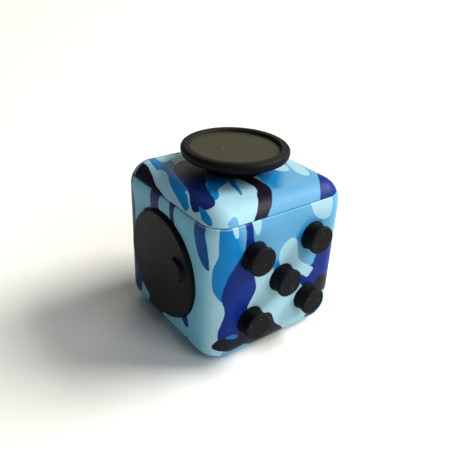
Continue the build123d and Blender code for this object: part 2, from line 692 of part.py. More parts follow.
# ================================================================ click, on the front
for place, (x, y) in click_points.items():
    axis_plane = profile(front, x, y)
    with BuildPart() as button:
        with BuildSketch(axis_plane):
            with BuildLine():
                Polyline(
                    (0, BUTTON_PROUD),
                    (BUTTON_R - BUTTON_EDGE, BUTTON_PROUD),
                    (BUTTON_R, BUTTON_PROUD - BUTTON_EDGE),
                    (BUTTON_R, BUTTON_PROUD - BUTTON_HEAD_T),
                )
                ThreePointArc(
                    (BUTTON_R, BUTTON_PROUD - BUTTON_HEAD_T),
                    (BUTTON_WAIST_R, BUTTON_PROUD / 2),
                    (BUTTON_R, BUTTON_FOOT),
                )
                Polyline(
                    (BUTTON_R, BUTTON_FOOT),
                    (BUTTON_R, -flange_front),
                    (flange_r, -flange_front),
                    (flange_r, -flange_back),
                    (BUTTON_POST_R, -flange_back),
                    (BUTTON_POST_R, -button_end),
                    (0, -button_end),
                    (0, BUTTON_PROUD),
                )
            make_face()
        revolve(axis=Axis(axis_plane.origin, front.z_dir))
    keep(f"button_{place}", button.part)
    plate_point = front.from_local_coords((x, y, SPRING_END_GAP - backplate_depth))
    keep(
        f"button_spring_{place}",
        coil(
            Plane(origin=plate_point, x_dir=front.x_dir, z_dir=front.z_dir),
            BUTTON_SPRING_R,
            BUTTON_SPRING_R,
            BUTTON_WIRE_R,
            BUTTON_SPRING_H - 2 * SPRING_END_GAP,
            BUTTON_TURNS,
        ),
    )

with BuildPart() as click_backplate:
    with BuildSketch(front.offset(-backplate_depth)):
        RectangleRounded(2 * backplate_half, 2 * backplate_half, BACKPLATE_CORNER_R)
        with Locations(*click_screw_points):
            Circle(SCREW_R + PASS_GAP, mode=Mode.SUBTRACT)
    extrude(amount=-BACKPLATE_T)
    with BuildSketch(front.offset(-backplate_depth - FUSE)):
        with Locations(*click_points.values()):
            Circle(cup_r + CUP_T)
        with Locations(*click_points.values()):
            Circle(cup_r, mode=Mode.SUBTRACT)
    extrude(amount=CUP_H + FUSE)
keep("click_backplate", click_backplate.part)

keep(
    "click_screws",
    screws(
        inward(front, backplate_depth + BACKPLATE_T),
        click_screw_points,
        BACKPLATE_T + CLICK_SCREW_HOLD,
    ),
)

with BuildPart() as snap_domes:
    for place in clicking:
        axis_plane = profile(front.offset(-backplate_depth), *click_points[place])
        with BuildSketch(axis_plane):
            with BuildLine():
                Polyline(
                    (0, DOME_H),
                    (DOME_CROWN_R, DOME_H),
                    (DOME_R - DOME_T, DOME_T),
                    (DOME_R, DOME_T),
                    (DOME_R, 0),
                    (DOME_R - 2 * DOME_T, 0),
                    (DOME_CROWN_R - DOME_T, DOME_H - DOME_T),
                    (0, DOME_H - DOME_T),
                    close=True,
                )
            make_face()
        revolve(axis=Axis(axis_plane.origin, front.z_dir))
keep("snap_domes", snap_domes.part)

# ================================================================ spin, on the left
disc_plane = profile(left, 0, 0)
with BuildPart() as spin_disc:
    with BuildSketch(disc_plane):
        with BuildLine():
            Line((0, DISC_PROUD), (DISC_R - DISC_EDGE_R, DISC_PROUD))
            RadiusArc((DISC_R - DISC_EDGE_R, DISC_PROUD), (DISC_R, DISC_PROUD - DISC_EDGE_R), DISC_EDGE_R)
            Polyline(
                (DISC_R, DISC_PROUD - DISC_EDGE_R),
                (DISC_R, -disc_back),
                (SHAFT_R, -disc_back),
                (SHAFT_R, -shaft_end),
                (0, -shaft_end),
                (0, DISC_PROUD),
            )
        make_face()
    revolve(axis=Axis(left.origin, left.z_dir))
    with BuildSketch(left.offset(DISC_PROUD - FUSE)):
        with Locations((-NUB_Y, NUB_Z)):
            Circle(NUB_R)
    extrude(amount=NUB_H + FUSE, taper=degrees(atan2(NUB_R - NUB_TOP_R, NUB_H)))
    fillet(spin_disc.edges().group_by(Axis.X)[0], radius=NUB_EDGE_R)
    with BuildSketch(left.offset(-shaft_end)):
        Circle(STEM_SCREW_R + PILOT_GAP)
    extrude(amount=SPIN_SCREW_HOLD + TIP_GAP, mode=Mode.SUBTRACT)
keep("spin_disc", spin_disc.part)

with BuildPart() as spin_washer:
    with BuildSketch(left.offset(-shaft_end)):
        Circle(WASHER_R)
        Circle(STEM_SCREW_R + PASS_GAP, mode=Mode.SUBTRACT)
    extrude(amount=-WASHER_T)
keep("spin_washer", spin_washer.part)

keep(
    "spin_screw",
    screws(
        inward(left, shaft_end + WASHER_T),
        [(0, 0)],
        WASHER_T + SPIN_SCREW_HOLD,
        STEM_SCREW_R,
        STEM_SCREW_HEAD_R,
        STEM_SCREW_HEAD_H,
    ),
)

# ================================================================ flip, on the right
# The rocker rests with its upper half pressed in. Its own plane has X along its length and Y outwards.
pivot = right.offset(-PIVOT_DEPTH).origin
tilt = radians(ROCKER_TILT)
rocker_plane = Plane(origin=pivot, x_dir=(-sin(tilt), 0, cos(tilt)), z_dir=(0, 1, 0))
level_plane = Plane(origin=pivot, x_dir=(0, 0, 1), z_dir=(0, 1, 0))
with BuildPart() as rocker:
    with BuildSketch(rocker_plane):
        with BuildLine():
            Polyline(
                (0, face_middle),
                (ROCKER_HALF_LENGTH, face_end),
                (ROCKER_HALF_LENGTH, ROCKER_SKIRT_V),
                (ROCKER_HUB_R + ROCKER_HAUNCH, ROCKER_SKIRT_V - ROCKER_HAUNCH),
                (ROCKER_HUB_R, 0),
                (NOSE_R, -NOSE_REACH),
                (-NOSE_R, -NOSE_REACH),
                (-ROCKER_HUB_R, 0),
                (-ROCKER_HUB_R - ROCKER_HAUNCH, ROCKER_SKIRT_V - ROCKER_HAUNCH),
                (-ROCKER_HALF_LENGTH, ROCKER_SKIRT_V),
                (-ROCKER_HALF_LENGTH, face_end),
                close=True,
            )
        make_face()
        with Locations((0, -NOSE_REACH)):
            Circle(NOSE_R)
    extrude(amount=ROCKER_HALF_WIDTH, both=True)
    out = Axis(pivot, (cos(tilt), 0, sin(tilt)))
    fillet(rocker.edges().filter_by(Axis.Y).sort_by(out)[-2:], radius=ROCKER_EDGE_R)
    with BuildSketch(rocker_plane):
        Circle(PIVOT_PIN_R + PIVOT_PIN_GAP)
    extrude(amount=ROCKER_HALF_WIDTH, both=True, mode=Mode.SUBTRACT)
keep("rocker", rocker.part)

with BuildPart() as rocker_pin:
    with BuildSketch(level_plane):
        Circle(PIVOT_PIN_R)
    extrude(amount=ear_outside, both=True)
    chamfer(rocker_pin.edges(), length=PIN_CHAMFER)
keep("rocker_pin", rocker_pin.part)

with BuildPart() as rocker_frame:
    # floor, and two ears that carry the pin
    with BuildSketch(level_plane):
        with Locations((0, -frame_floor - FRAME_FLOOR_T / 2)):
            Rectangle(2 * (EAR_HALF_LENGTH + EAR_SPREAD), FRAME_FLOOR_T)
    extrude(amount=ear_outside, both=True)
    with BuildSketch(level_plane):
        with Locations((0, -frame_floor - FRAME_FLOOR_T / 2)):
            Rectangle(2 * (LEAF_HALF_LENGTH + STOP_GAP + STOP_T), FRAME_FLOOR_T)
    extrude(amount=LEAF_HALF_WIDTH + CRADLE_MARGIN, both=True)
    for side in (-1, 1):
        with BuildSketch(level_plane.offset(side * (ear_inside + EAR_T / 2))):
            with BuildLine():
                Polyline(
                    (EAR_HALF_LENGTH, ear_top),
                    (-EAR_HALF_LENGTH, ear_top),
                    (-EAR_HALF_LENGTH - EAR_SPREAD, -frame_floor - FRAME_FLOOR_T / 2),
                    (EAR_HALF_LENGTH + EAR_SPREAD, -frame_floor - FRAME_FLOOR_T / 2),
                    close=True,
                )
            make_face()
            Circle(PIVOT_PIN_R + SADDLE_GAP, mode=Mode.SUBTRACT)
        extrude(amount=EAR_T / 2, both=True)
        # foot tabs for the two screws
        with BuildSketch(right.offset(-TAB_DEPTH)):
            with Locations((side * (ear_outside + tab_y + BOSS_R - FUSE) / 2, 0)):
                Rectangle(tab_y + BOSS_R - ear_outside + FUSE, 2 * BOSS_R)
            with Locations((side * tab_y, 0)):
                Circle(SCREW_R + PASS_GAP, mode=Mode.SUBTRACT)
        extrude(amount=-TAB_T)
    # steps and end stops that hold the leaf
    step_h = LEAF_GIVE - SADDLE_GAP
    stop_h = LEAF_GIVE + LEAF_T + STOP_H
    with BuildSketch(level_plane):
        for side in (-1, 1):
            with Locations((side * (LEAF_HALF_LENGTH + STOP_GAP), -frame_floor + (step_h - FUSE) / 2)):
                Rectangle(2 * STEP_LENGTH, step_h + FUSE)
            with Locations(
                (side * (LEAF_HALF_LENGTH + STOP_GAP + STOP_T / 2), -frame_floor + (stop_h - FUSE) / 2)
            ):
                Rectangle(STOP_T, stop_h + FUSE)
    extrude(amount=LEAF_HALF_WIDTH + CRADLE_MARGIN, both=True)
keep("rocker_frame", rocker_frame.part)

with BuildPart() as rocker_leaf:
    with BuildSketch(level_plane):
        with BuildLine():
            Polyline(
                (-BUMP_R, -bump_down),
                (-BUMP_R, -leaf_face),
                (-LEAF_HALF_LENGTH, -leaf_face),
                (-LEAF_HALF_LENGTH, -leaf_face - LEAF_T),
                (-bump_inner_r, -leaf_face - LEAF_T),
                (-bump_inner_r, -bump_down),
            )
            ThreePointArc(
                (-bump_inner_r, -bump_down), (0, bump_inner_r - bump_down), (bump_inner_r, -bump_down)
            )
            Polyline(
                (bump_inner_r, -bump_down),
                (bump_inner_r, -leaf_face - LEAF_T),
                (LEAF_HALF_LENGTH, -leaf_face - LEAF_T),
                (LEAF_HALF_LENGTH, -leaf_face),
                (BUMP_R, -leaf_face),
                (BUMP_R, -bump_down),
            )
            ThreePointArc((BUMP_R, -bump_down), (0, BUMP_R - bump_down), (-BUMP_R, -bump_down))
        make_face()
    extrude(amount=LEAF_HALF_WIDTH, both=True)
keep("rocker_leaf", rocker_leaf.part)

keep(
    "rocker_screws",
    screws(inward(right, TAB_DEPTH + TAB_T), tab_points, TAB_T + TAB_SCREW_HOLD),
)

# ================================================================ roll, on the back
for index, x in enumerate(wheel_xs, start=1):
    with BuildPart() as wheel:
        with BuildSketch(Plane.YZ.offset(x)):
            with Locations((axle_y, WHEEL_Z)):
                Circle(WHEEL_R)
                with PolarLocations(WHEEL_R + SCALLOP_OUT, WHEEL_TEETH):
                    Circle(SCALLOP_R, mode=Mode.SUBTRACT)
        extrude(amount=WHEEL_W / 2, both=True)
        chamfer(wheel.faces().sort_by(Axis.X)[0].outer_wire().edges(), length=WHEEL_EDGE)
        chamfer(wheel.faces().sort_by(Axis.X)[-1].outer_wire().edges(), length=WHEEL_EDGE)
        with BuildSketch(Plane.YZ.offset(x)):
            with Locations((axle_y, WHEEL_Z)):
                Circle(HUB_SIDE_R)
        extrude(amount=hub_half, both=True)
        with BuildSketch(Plane.YZ.offset(x)):
            with Locations((axle_y, WHEEL_Z)):
                Circle(AXLE_R + AXLE_GAP)
        extrude(amount=hub_half, both=True, mode=Mode.SUBTRACT)
    keep(f"roll_wheel_{index}", wheel.part)

with BuildPart() as roll_axle:
    with BuildSketch(Plane.YZ):
        with Locations((axle_y, WHEEL_Z)):
            Circle(AXLE_R)
    extrude(amount=saddle_outside, both=True)
    chamfer(roll_axle.edges(), length=PIN_CHAMFER)
keep("roll_axle", roll_axle.part)

with BuildPart() as roll_ball:
    with Locations((0, ball_y, BALL_Z)):
        Sphere(BALL_R)
keep("roll_ball", roll_ball.part)

with BuildPart() as ball_seat:
    with BuildSketch(back.offset(-seat_back)):
        with Locations((0, BALL_Z)):
            Circle(SEAT_R)
    extrude(amount=seat_back - SEAT_RIM_DEPTH)
    with Locations((0, ball_y, BALL_Z)):
        Sphere(BALL_R + BALL_GAP, mode=Mode.SUBTRACT)
keep("ball_seat", ball_seat.part)

keep(
    "ball_spring",
    coil(
        Plane(origin=(0, SIDE / 2 - bracket_depth + SPRING_END_GAP, BALL_Z), z_dir=(0, 1, 0)),
        BALL_SPRING_R,
        BALL_SPRING_R,
        BALL_WIRE_R,
        bracket_depth - seat_back - 2 * SPRING_END_GAP,
        BALL_TURNS,
    ),
)

with BuildPart() as roll_bracket:
    with BuildSketch(back.offset(-bracket_depth)):
        with Locations((0, (bracket_bottom_z + bracket_top_z) / 2)):
            RectangleRounded(2 * (bracket_x + BOSS_R), bracket_top_z - bracket_bottom_z, BOSS_R)
        with Locations(*bracket_points):
            Circle(SCREW_R + PASS_GAP, mode=Mode.SUBTRACT)
    extrude(amount=-BRACKET_T)
    # keeper posts behind the axle's ends, and a peg inside the ball's spring
    with BuildSketch(back.offset(-bracket_depth - FUSE)):
        with Locations(*[(x, WHEEL_Z) for x in saddle_xs]):
            Rectangle(SADDLE_T - 2 * KEEPER_SIDE_GAP, 2 * AXLE_R)
    extrude(amount=bracket_depth + FUSE - saddle_depth - KEEPER_GAP)
    with BuildSketch(back.offset(-bracket_depth - FUSE)):
        with Locations((0, BALL_Z)):
            Circle(BALL_SPRING_R - BALL_WIRE_R - SPRING_SIDE_GAP)
    extrude(amount=PEG_H + FUSE)
    # ledge and headed stakes that carry the click comb
    with BuildSketch(back.offset(-bracket_depth - FUSE)):
        with Locations((0, (comb_low_z + comb_high_z) / 2)):
            Rectangle(2 * (wheel_xs[-1] + FINGER_HALF_W), comb_high_z - comb_low_z)
    extrude(amount=bracket_depth + FUSE - comb_back)
    with BuildSketch(back.offset(-comb_back - FUSE)):
        with Locations(*comb_points):
            Circle(STAKE_R)
    extrude(amount=FUSE + COMB_T + STAKE_GAP + STAKE_HEAD_T)
    with BuildSketch(back.offset(STAKE_GAP - comb_front)):
        with Locations(*comb_points):
            Circle(STAKE_HEAD_R)
    extrude(amount=STAKE_HEAD_T)
keep("roll_bracket", roll_bracket.part)

with BuildPart() as roll_comb:
    with BuildSketch(back.offset(-comb_back)):
        with Locations((0, (comb_low_z + comb_high_z) / 2)):
            Rectangle(2 * (wheel_xs[-1] + FINGER_HALF_W), comb_high_z - comb_low_z)
        with Locations(*[(x, (comb_high_z + WHEEL_Z + FINGER_TIP) / 2) for x in wheel_xs]):
            Rectangle(2 * FINGER_HALF_W, WHEEL_Z + FINGER_TIP - comb_high_z)
        with Locations(*comb_points):
            Circle(STAKE_R + STAKE_GAP, mode=Mode.SUBTRACT)
    extrude(amount=COMB_T)
    for x in wheel_xs:
        with BuildSketch(Plane.YZ.offset(x)):
            with Locations((SIDE / 2 - bump_depth, WHEEL_Z)):
                Circle(FINGER_BUMP_R)
        extrude(amount=FINGER_HALF_W, both=True)
keep("roll_comb", roll_comb.part)

keep(
    "bracket_screws",
    screws(inward(back, bracket_depth + BRACKET_T), bracket_points, BRACKET_T + BRACKET_SCREW_HOLD),
)
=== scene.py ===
"""A 33 mm pocket fidget cube: camouflage-printed casing with matt black controls, on a pale floor.

The CAD nodes carry the shapes. This script dresses each of them in the finish of the real material,
adds the small surface pieces that the CAD leaves out, and sets the floor, the lights and the camera.
All lengths are metres, in the CAD's own frame: the front face looks along -Y and the floor is Z = 0.
Patterns are laid out in millimetres on the unrolled faces.
"""

import json
import logging
import math
import random
from dataclasses import dataclass, replace
from enum import Enum

import bmesh
import bpy
from mathutils import Matrix, Vector


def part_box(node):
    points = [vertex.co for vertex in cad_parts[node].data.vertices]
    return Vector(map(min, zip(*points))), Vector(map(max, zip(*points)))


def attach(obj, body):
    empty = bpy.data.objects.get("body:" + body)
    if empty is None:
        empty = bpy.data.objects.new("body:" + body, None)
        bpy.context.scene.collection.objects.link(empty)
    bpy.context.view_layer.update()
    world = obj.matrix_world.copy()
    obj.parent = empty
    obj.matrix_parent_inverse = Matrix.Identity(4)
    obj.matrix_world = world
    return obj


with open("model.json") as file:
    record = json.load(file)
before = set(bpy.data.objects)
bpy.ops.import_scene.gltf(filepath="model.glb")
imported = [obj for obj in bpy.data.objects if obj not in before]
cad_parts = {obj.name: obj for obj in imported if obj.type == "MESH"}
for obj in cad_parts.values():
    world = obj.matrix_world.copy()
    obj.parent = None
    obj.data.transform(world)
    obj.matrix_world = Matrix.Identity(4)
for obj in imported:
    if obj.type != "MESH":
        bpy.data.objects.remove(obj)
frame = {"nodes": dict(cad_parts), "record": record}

MM = 0.001
PER_MM = 1000.0
SPAN = 72.0  # width in mm of the sheet that the patches are drawn on, with its middle at 0
SIDE_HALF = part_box("main_housing")[1].x / MM  # half the cube's width, in mm
COVER_HEIGHT = 2.8  # mm from the cover's top down to the seam
SEAM_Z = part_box("top_cover")[1].z / MM - COVER_HEIGHT  # height of the seam in mm
LID_FOLD_Z = 28.0  # height in mm where the cover's rounded edge starts
log = logging.getLogger("fidget_cube")

Socket = bpy.types.NodeSocket
Line = tuple[tuple[float, float], ...]


# ------------------------------------------------------------------------------------------------
# Colour and node helpers
# ------------------------------------------------------------------------------------------------


def linear(hex_colour: str) -> tuple[float, float, float, float]:
    """Turns an sRGB hex colour into the linear colour that shaders take.

    Args:
        hex_colour: six hex digits, such as "1d2f6b".

    Returns:
        Red, green, blue and alpha, each from 0 to 1, linear.
    """
    channels = [int(hex_colour[i : i + 2], 16) / 255 for i in (0, 2, 4)]
    bent = [c / 12.92 if c <= 0.04045 else ((c + 0.055) / 1.055) ** 2.4 for c in channels]
    return (*bent, 1.0)


class Graph:
    """The node tree of one material or world, with a short way to add a node."""

    def __init__(self, owner: bpy.types.Material | bpy.types.World) -> None:
        """Empties the owner's node tree.

        Args:
            owner: the material or world whose tree is built.
        """
        owner.use_nodes = True
        self.owner = owner
        self.tree = owner.node_tree
        self.tree.nodes.clear()

    def add(self, kind: str, inputs: dict | None = None, points: Line = (), **settings) -> bpy.types.Node:
        """Adds a node, with its settings and the values or links of its inputs.

        Args:
            kind: the node's type without the ShaderNode prefix, such as "TexNoise".
            inputs: input name or index to a value, or to an output socket to link from.
            points: for a curve or a colour ramp, its points in order.
            **settings: properties of the node, such as operation="ADD".

        Returns:
            The new node.
        """
        node = self.tree.nodes.new("ShaderNode" + kind)
        for key, value in settings.items():
            setattr(node, key, value)
        for key, value in (inputs or {}).items():
            if isinstance(value, Socket):
                self.tree.links.new(value, node.inputs[key])
            else:
                node.inputs[key].default_value = value
        if points:
            curve = node.mapping.curves[0]
            curve.points[0].location, curve.points[1].location = points[0], points[-1]
            for point in points[1:-1]:
                curve.points.new(*point)
            for point in curve.points:
                point.handle_type = "AUTO_CLAMPED"
            node.mapping.extend = "HORIZONTAL"
            node.mapping.update()
        return node

    def math(self, operation: str, *values: float | Socket, clamp: bool = False) -> Socket:
        """Adds a sum on numbers and returns its result."""
        return self.add("Math", dict(enumerate(values)), operation=operation, use_clamp=clamp).outputs[0]

    def vector(self, operation: str, *values: tuple | Socket) -> bpy.types.Node:
        """Adds a sum on vectors and returns its node, whose result may be a vector or a number."""
        return self.add("VectorMath", dict(enumerate(values)), operation=operation)

    def blend(self, share: float | Socket, low: tuple | Socket, high: tuple | Socket) -> Socket:
        """Mixes two colours by a share from 0 to 1 and returns the mixed colour."""
        mix = self.add("Mix", {0: share, 6: low, 7: high}, data_type="RGBA")
        return mix.outputs[2]

    def place(self) -> Socket:
        """Finds the surface point, in a frame that moves with the piece.

        Returns:
            The point in millimetres.
        """
        point = self.add("TexCoord").outputs["Object"]
        scaled = self.add("VectorMath", {0: point, "Scale": PER_MM}, operation="SCALE")
        return scaled.outputs[0]

    def noise(self, point: Socket, per_mm: float, detail: float = 2.0, **inputs: float) -> Socket:
        """Noise from 0 to 1 with a number of features per millimetre."""
        values = {"Vector": point, "Scale": per_mm, "Detail": detail, **inputs}
        return self.add("TexNoise", values).outputs[0]

    def step(self, value: Socket, at: float, soft: float) -> Socket:
        """A share that rises from 0 to 1 where the value passes a level, over a soft width."""
        return self.math("MULTIPLY_ADD", self.math("SUBTRACT", value, at), 1 / soft, 0.5, clamp=True)

    def bump(self, height: Socket, depth_mm: float, under: Socket | None = None) -> Socket:
        """Turns a height into relief.

        Args:
            height: the height, from 0 to 1.
            depth_mm: how deep the relief is.
            under: the normal of another relief that this one lies on, if there is one.

        Returns:
            The surface normal.
        """
        inputs = {"Height": height, "Distance": depth_mm * MM, "Strength": 1.0}
        if under is not None:
            inputs["Normal"] = under
        return self.add("Bump", inputs).outputs[0]

    def close(
        self, shader: bpy.types.Node, output: str = "OutputMaterial"
    ) -> bpy.types.Material | bpy.types.World:
        """Links the shader to the output.

        Args:
            shader: the node whose first output is the finished shader.
            output: the output node's kind.

        Returns:
            The material or world that owns the tree.
        """
        end = self.add(output)
        self.tree.links.new(shader.outputs[0], end.inputs["Surface"])
        return self.owner


def graph(name: str) -> Graph:
    """Starts the tree of a new material with that name."""
    return Graph(bpy.data.materials.new(name))


# ------------------------------------------------------------------------------------------------
# Camouflage print
# ------------------------------------------------------------------------------------------------


class Ink(Enum):
    """The inks of the printed film, as sRGB hex."""

    ICE = "9fcbd8"
    SKY = "5da0c8"
    AZURE = "0a7bbd"
    ROYAL = "07287a"
    PLUM = "161022"
    NAVY = "12225e"
    STEEL = "243654"
    DEEP = "0c4486"
    # a bluer ink laid deeper as painted shade: the ground of the left face, which is turned from the lights
    SHADED_MIST = "6fb0c6"


class Along(Enum):
    """Which way the two edges of a patch run on the unrolled face."""

    UP = "second"
    ACROSS = "first"


@dataclass(frozen=True)
class Patch:
    """One patch of ink between two smooth edges.

    Each edge is a list of (position along the patch, place across it) in mm. The patch closes at
    both ends, so one that runs off the face ends beyond it.
    """

    ink: Ink
    along: Along
    low: Line
    high: Line
    soft: float = 0.1

    SHUT = 0.15  # mm past each end where the edges have crossed
    CROSS = 1.0  # how far in mm a crisp patch's edges are drawn past each other there
    RUN_OUT = 0.8  # mm that the crossed edges run on, over two steps of a curve node's table

    def edges(self) -> tuple[Line, Line]:
        """The two edges, crossed just past each end so that the patch closes there.

        Returns:
            The low and the high edge, in mm.
        """
        first = (self.low[0][1] + self.high[0][1]) / 2
        last = (self.low[-1][1] + self.high[-1][1]) / 2
        start, end = self.low[0][0] - self.SHUT, self.low[-1][0] + self.SHUT
        past = self.CROSS + self.soft
        before, after = start - self.RUN_OUT, end + self.RUN_OUT
        crossed = []
        for edge, way in ((self.low, past), (self.high, -past)):
            lead = ((before, first + way), (start, first + way))
            tail = ((end, last + way), (after, last + way))
            crossed.append((*lead, *edge, *tail))
        return crossed[0], crossed[1]


def on_sheet(edge: Line) -> Line:
    """Turns an edge from mm to shares of the sheet, which is what a curve node takes."""
    return tuple((t / SPAN + 0.5, v / SPAN + 0.5) for t, v in edge)


def up(ink: Ink, low: Line, high: Line, soft: float = 0.1) -> Patch:
    """A patch whose edges run up the face."""
    return Patch(ink, Along.UP, low, high, soft)


def across(ink: Ink, low: Line, high: Line, soft: float = 0.1) -> Patch:
    """A patch whose edges run across the face."""
    return Patch(ink, Along.ACROSS, low, high, soft)


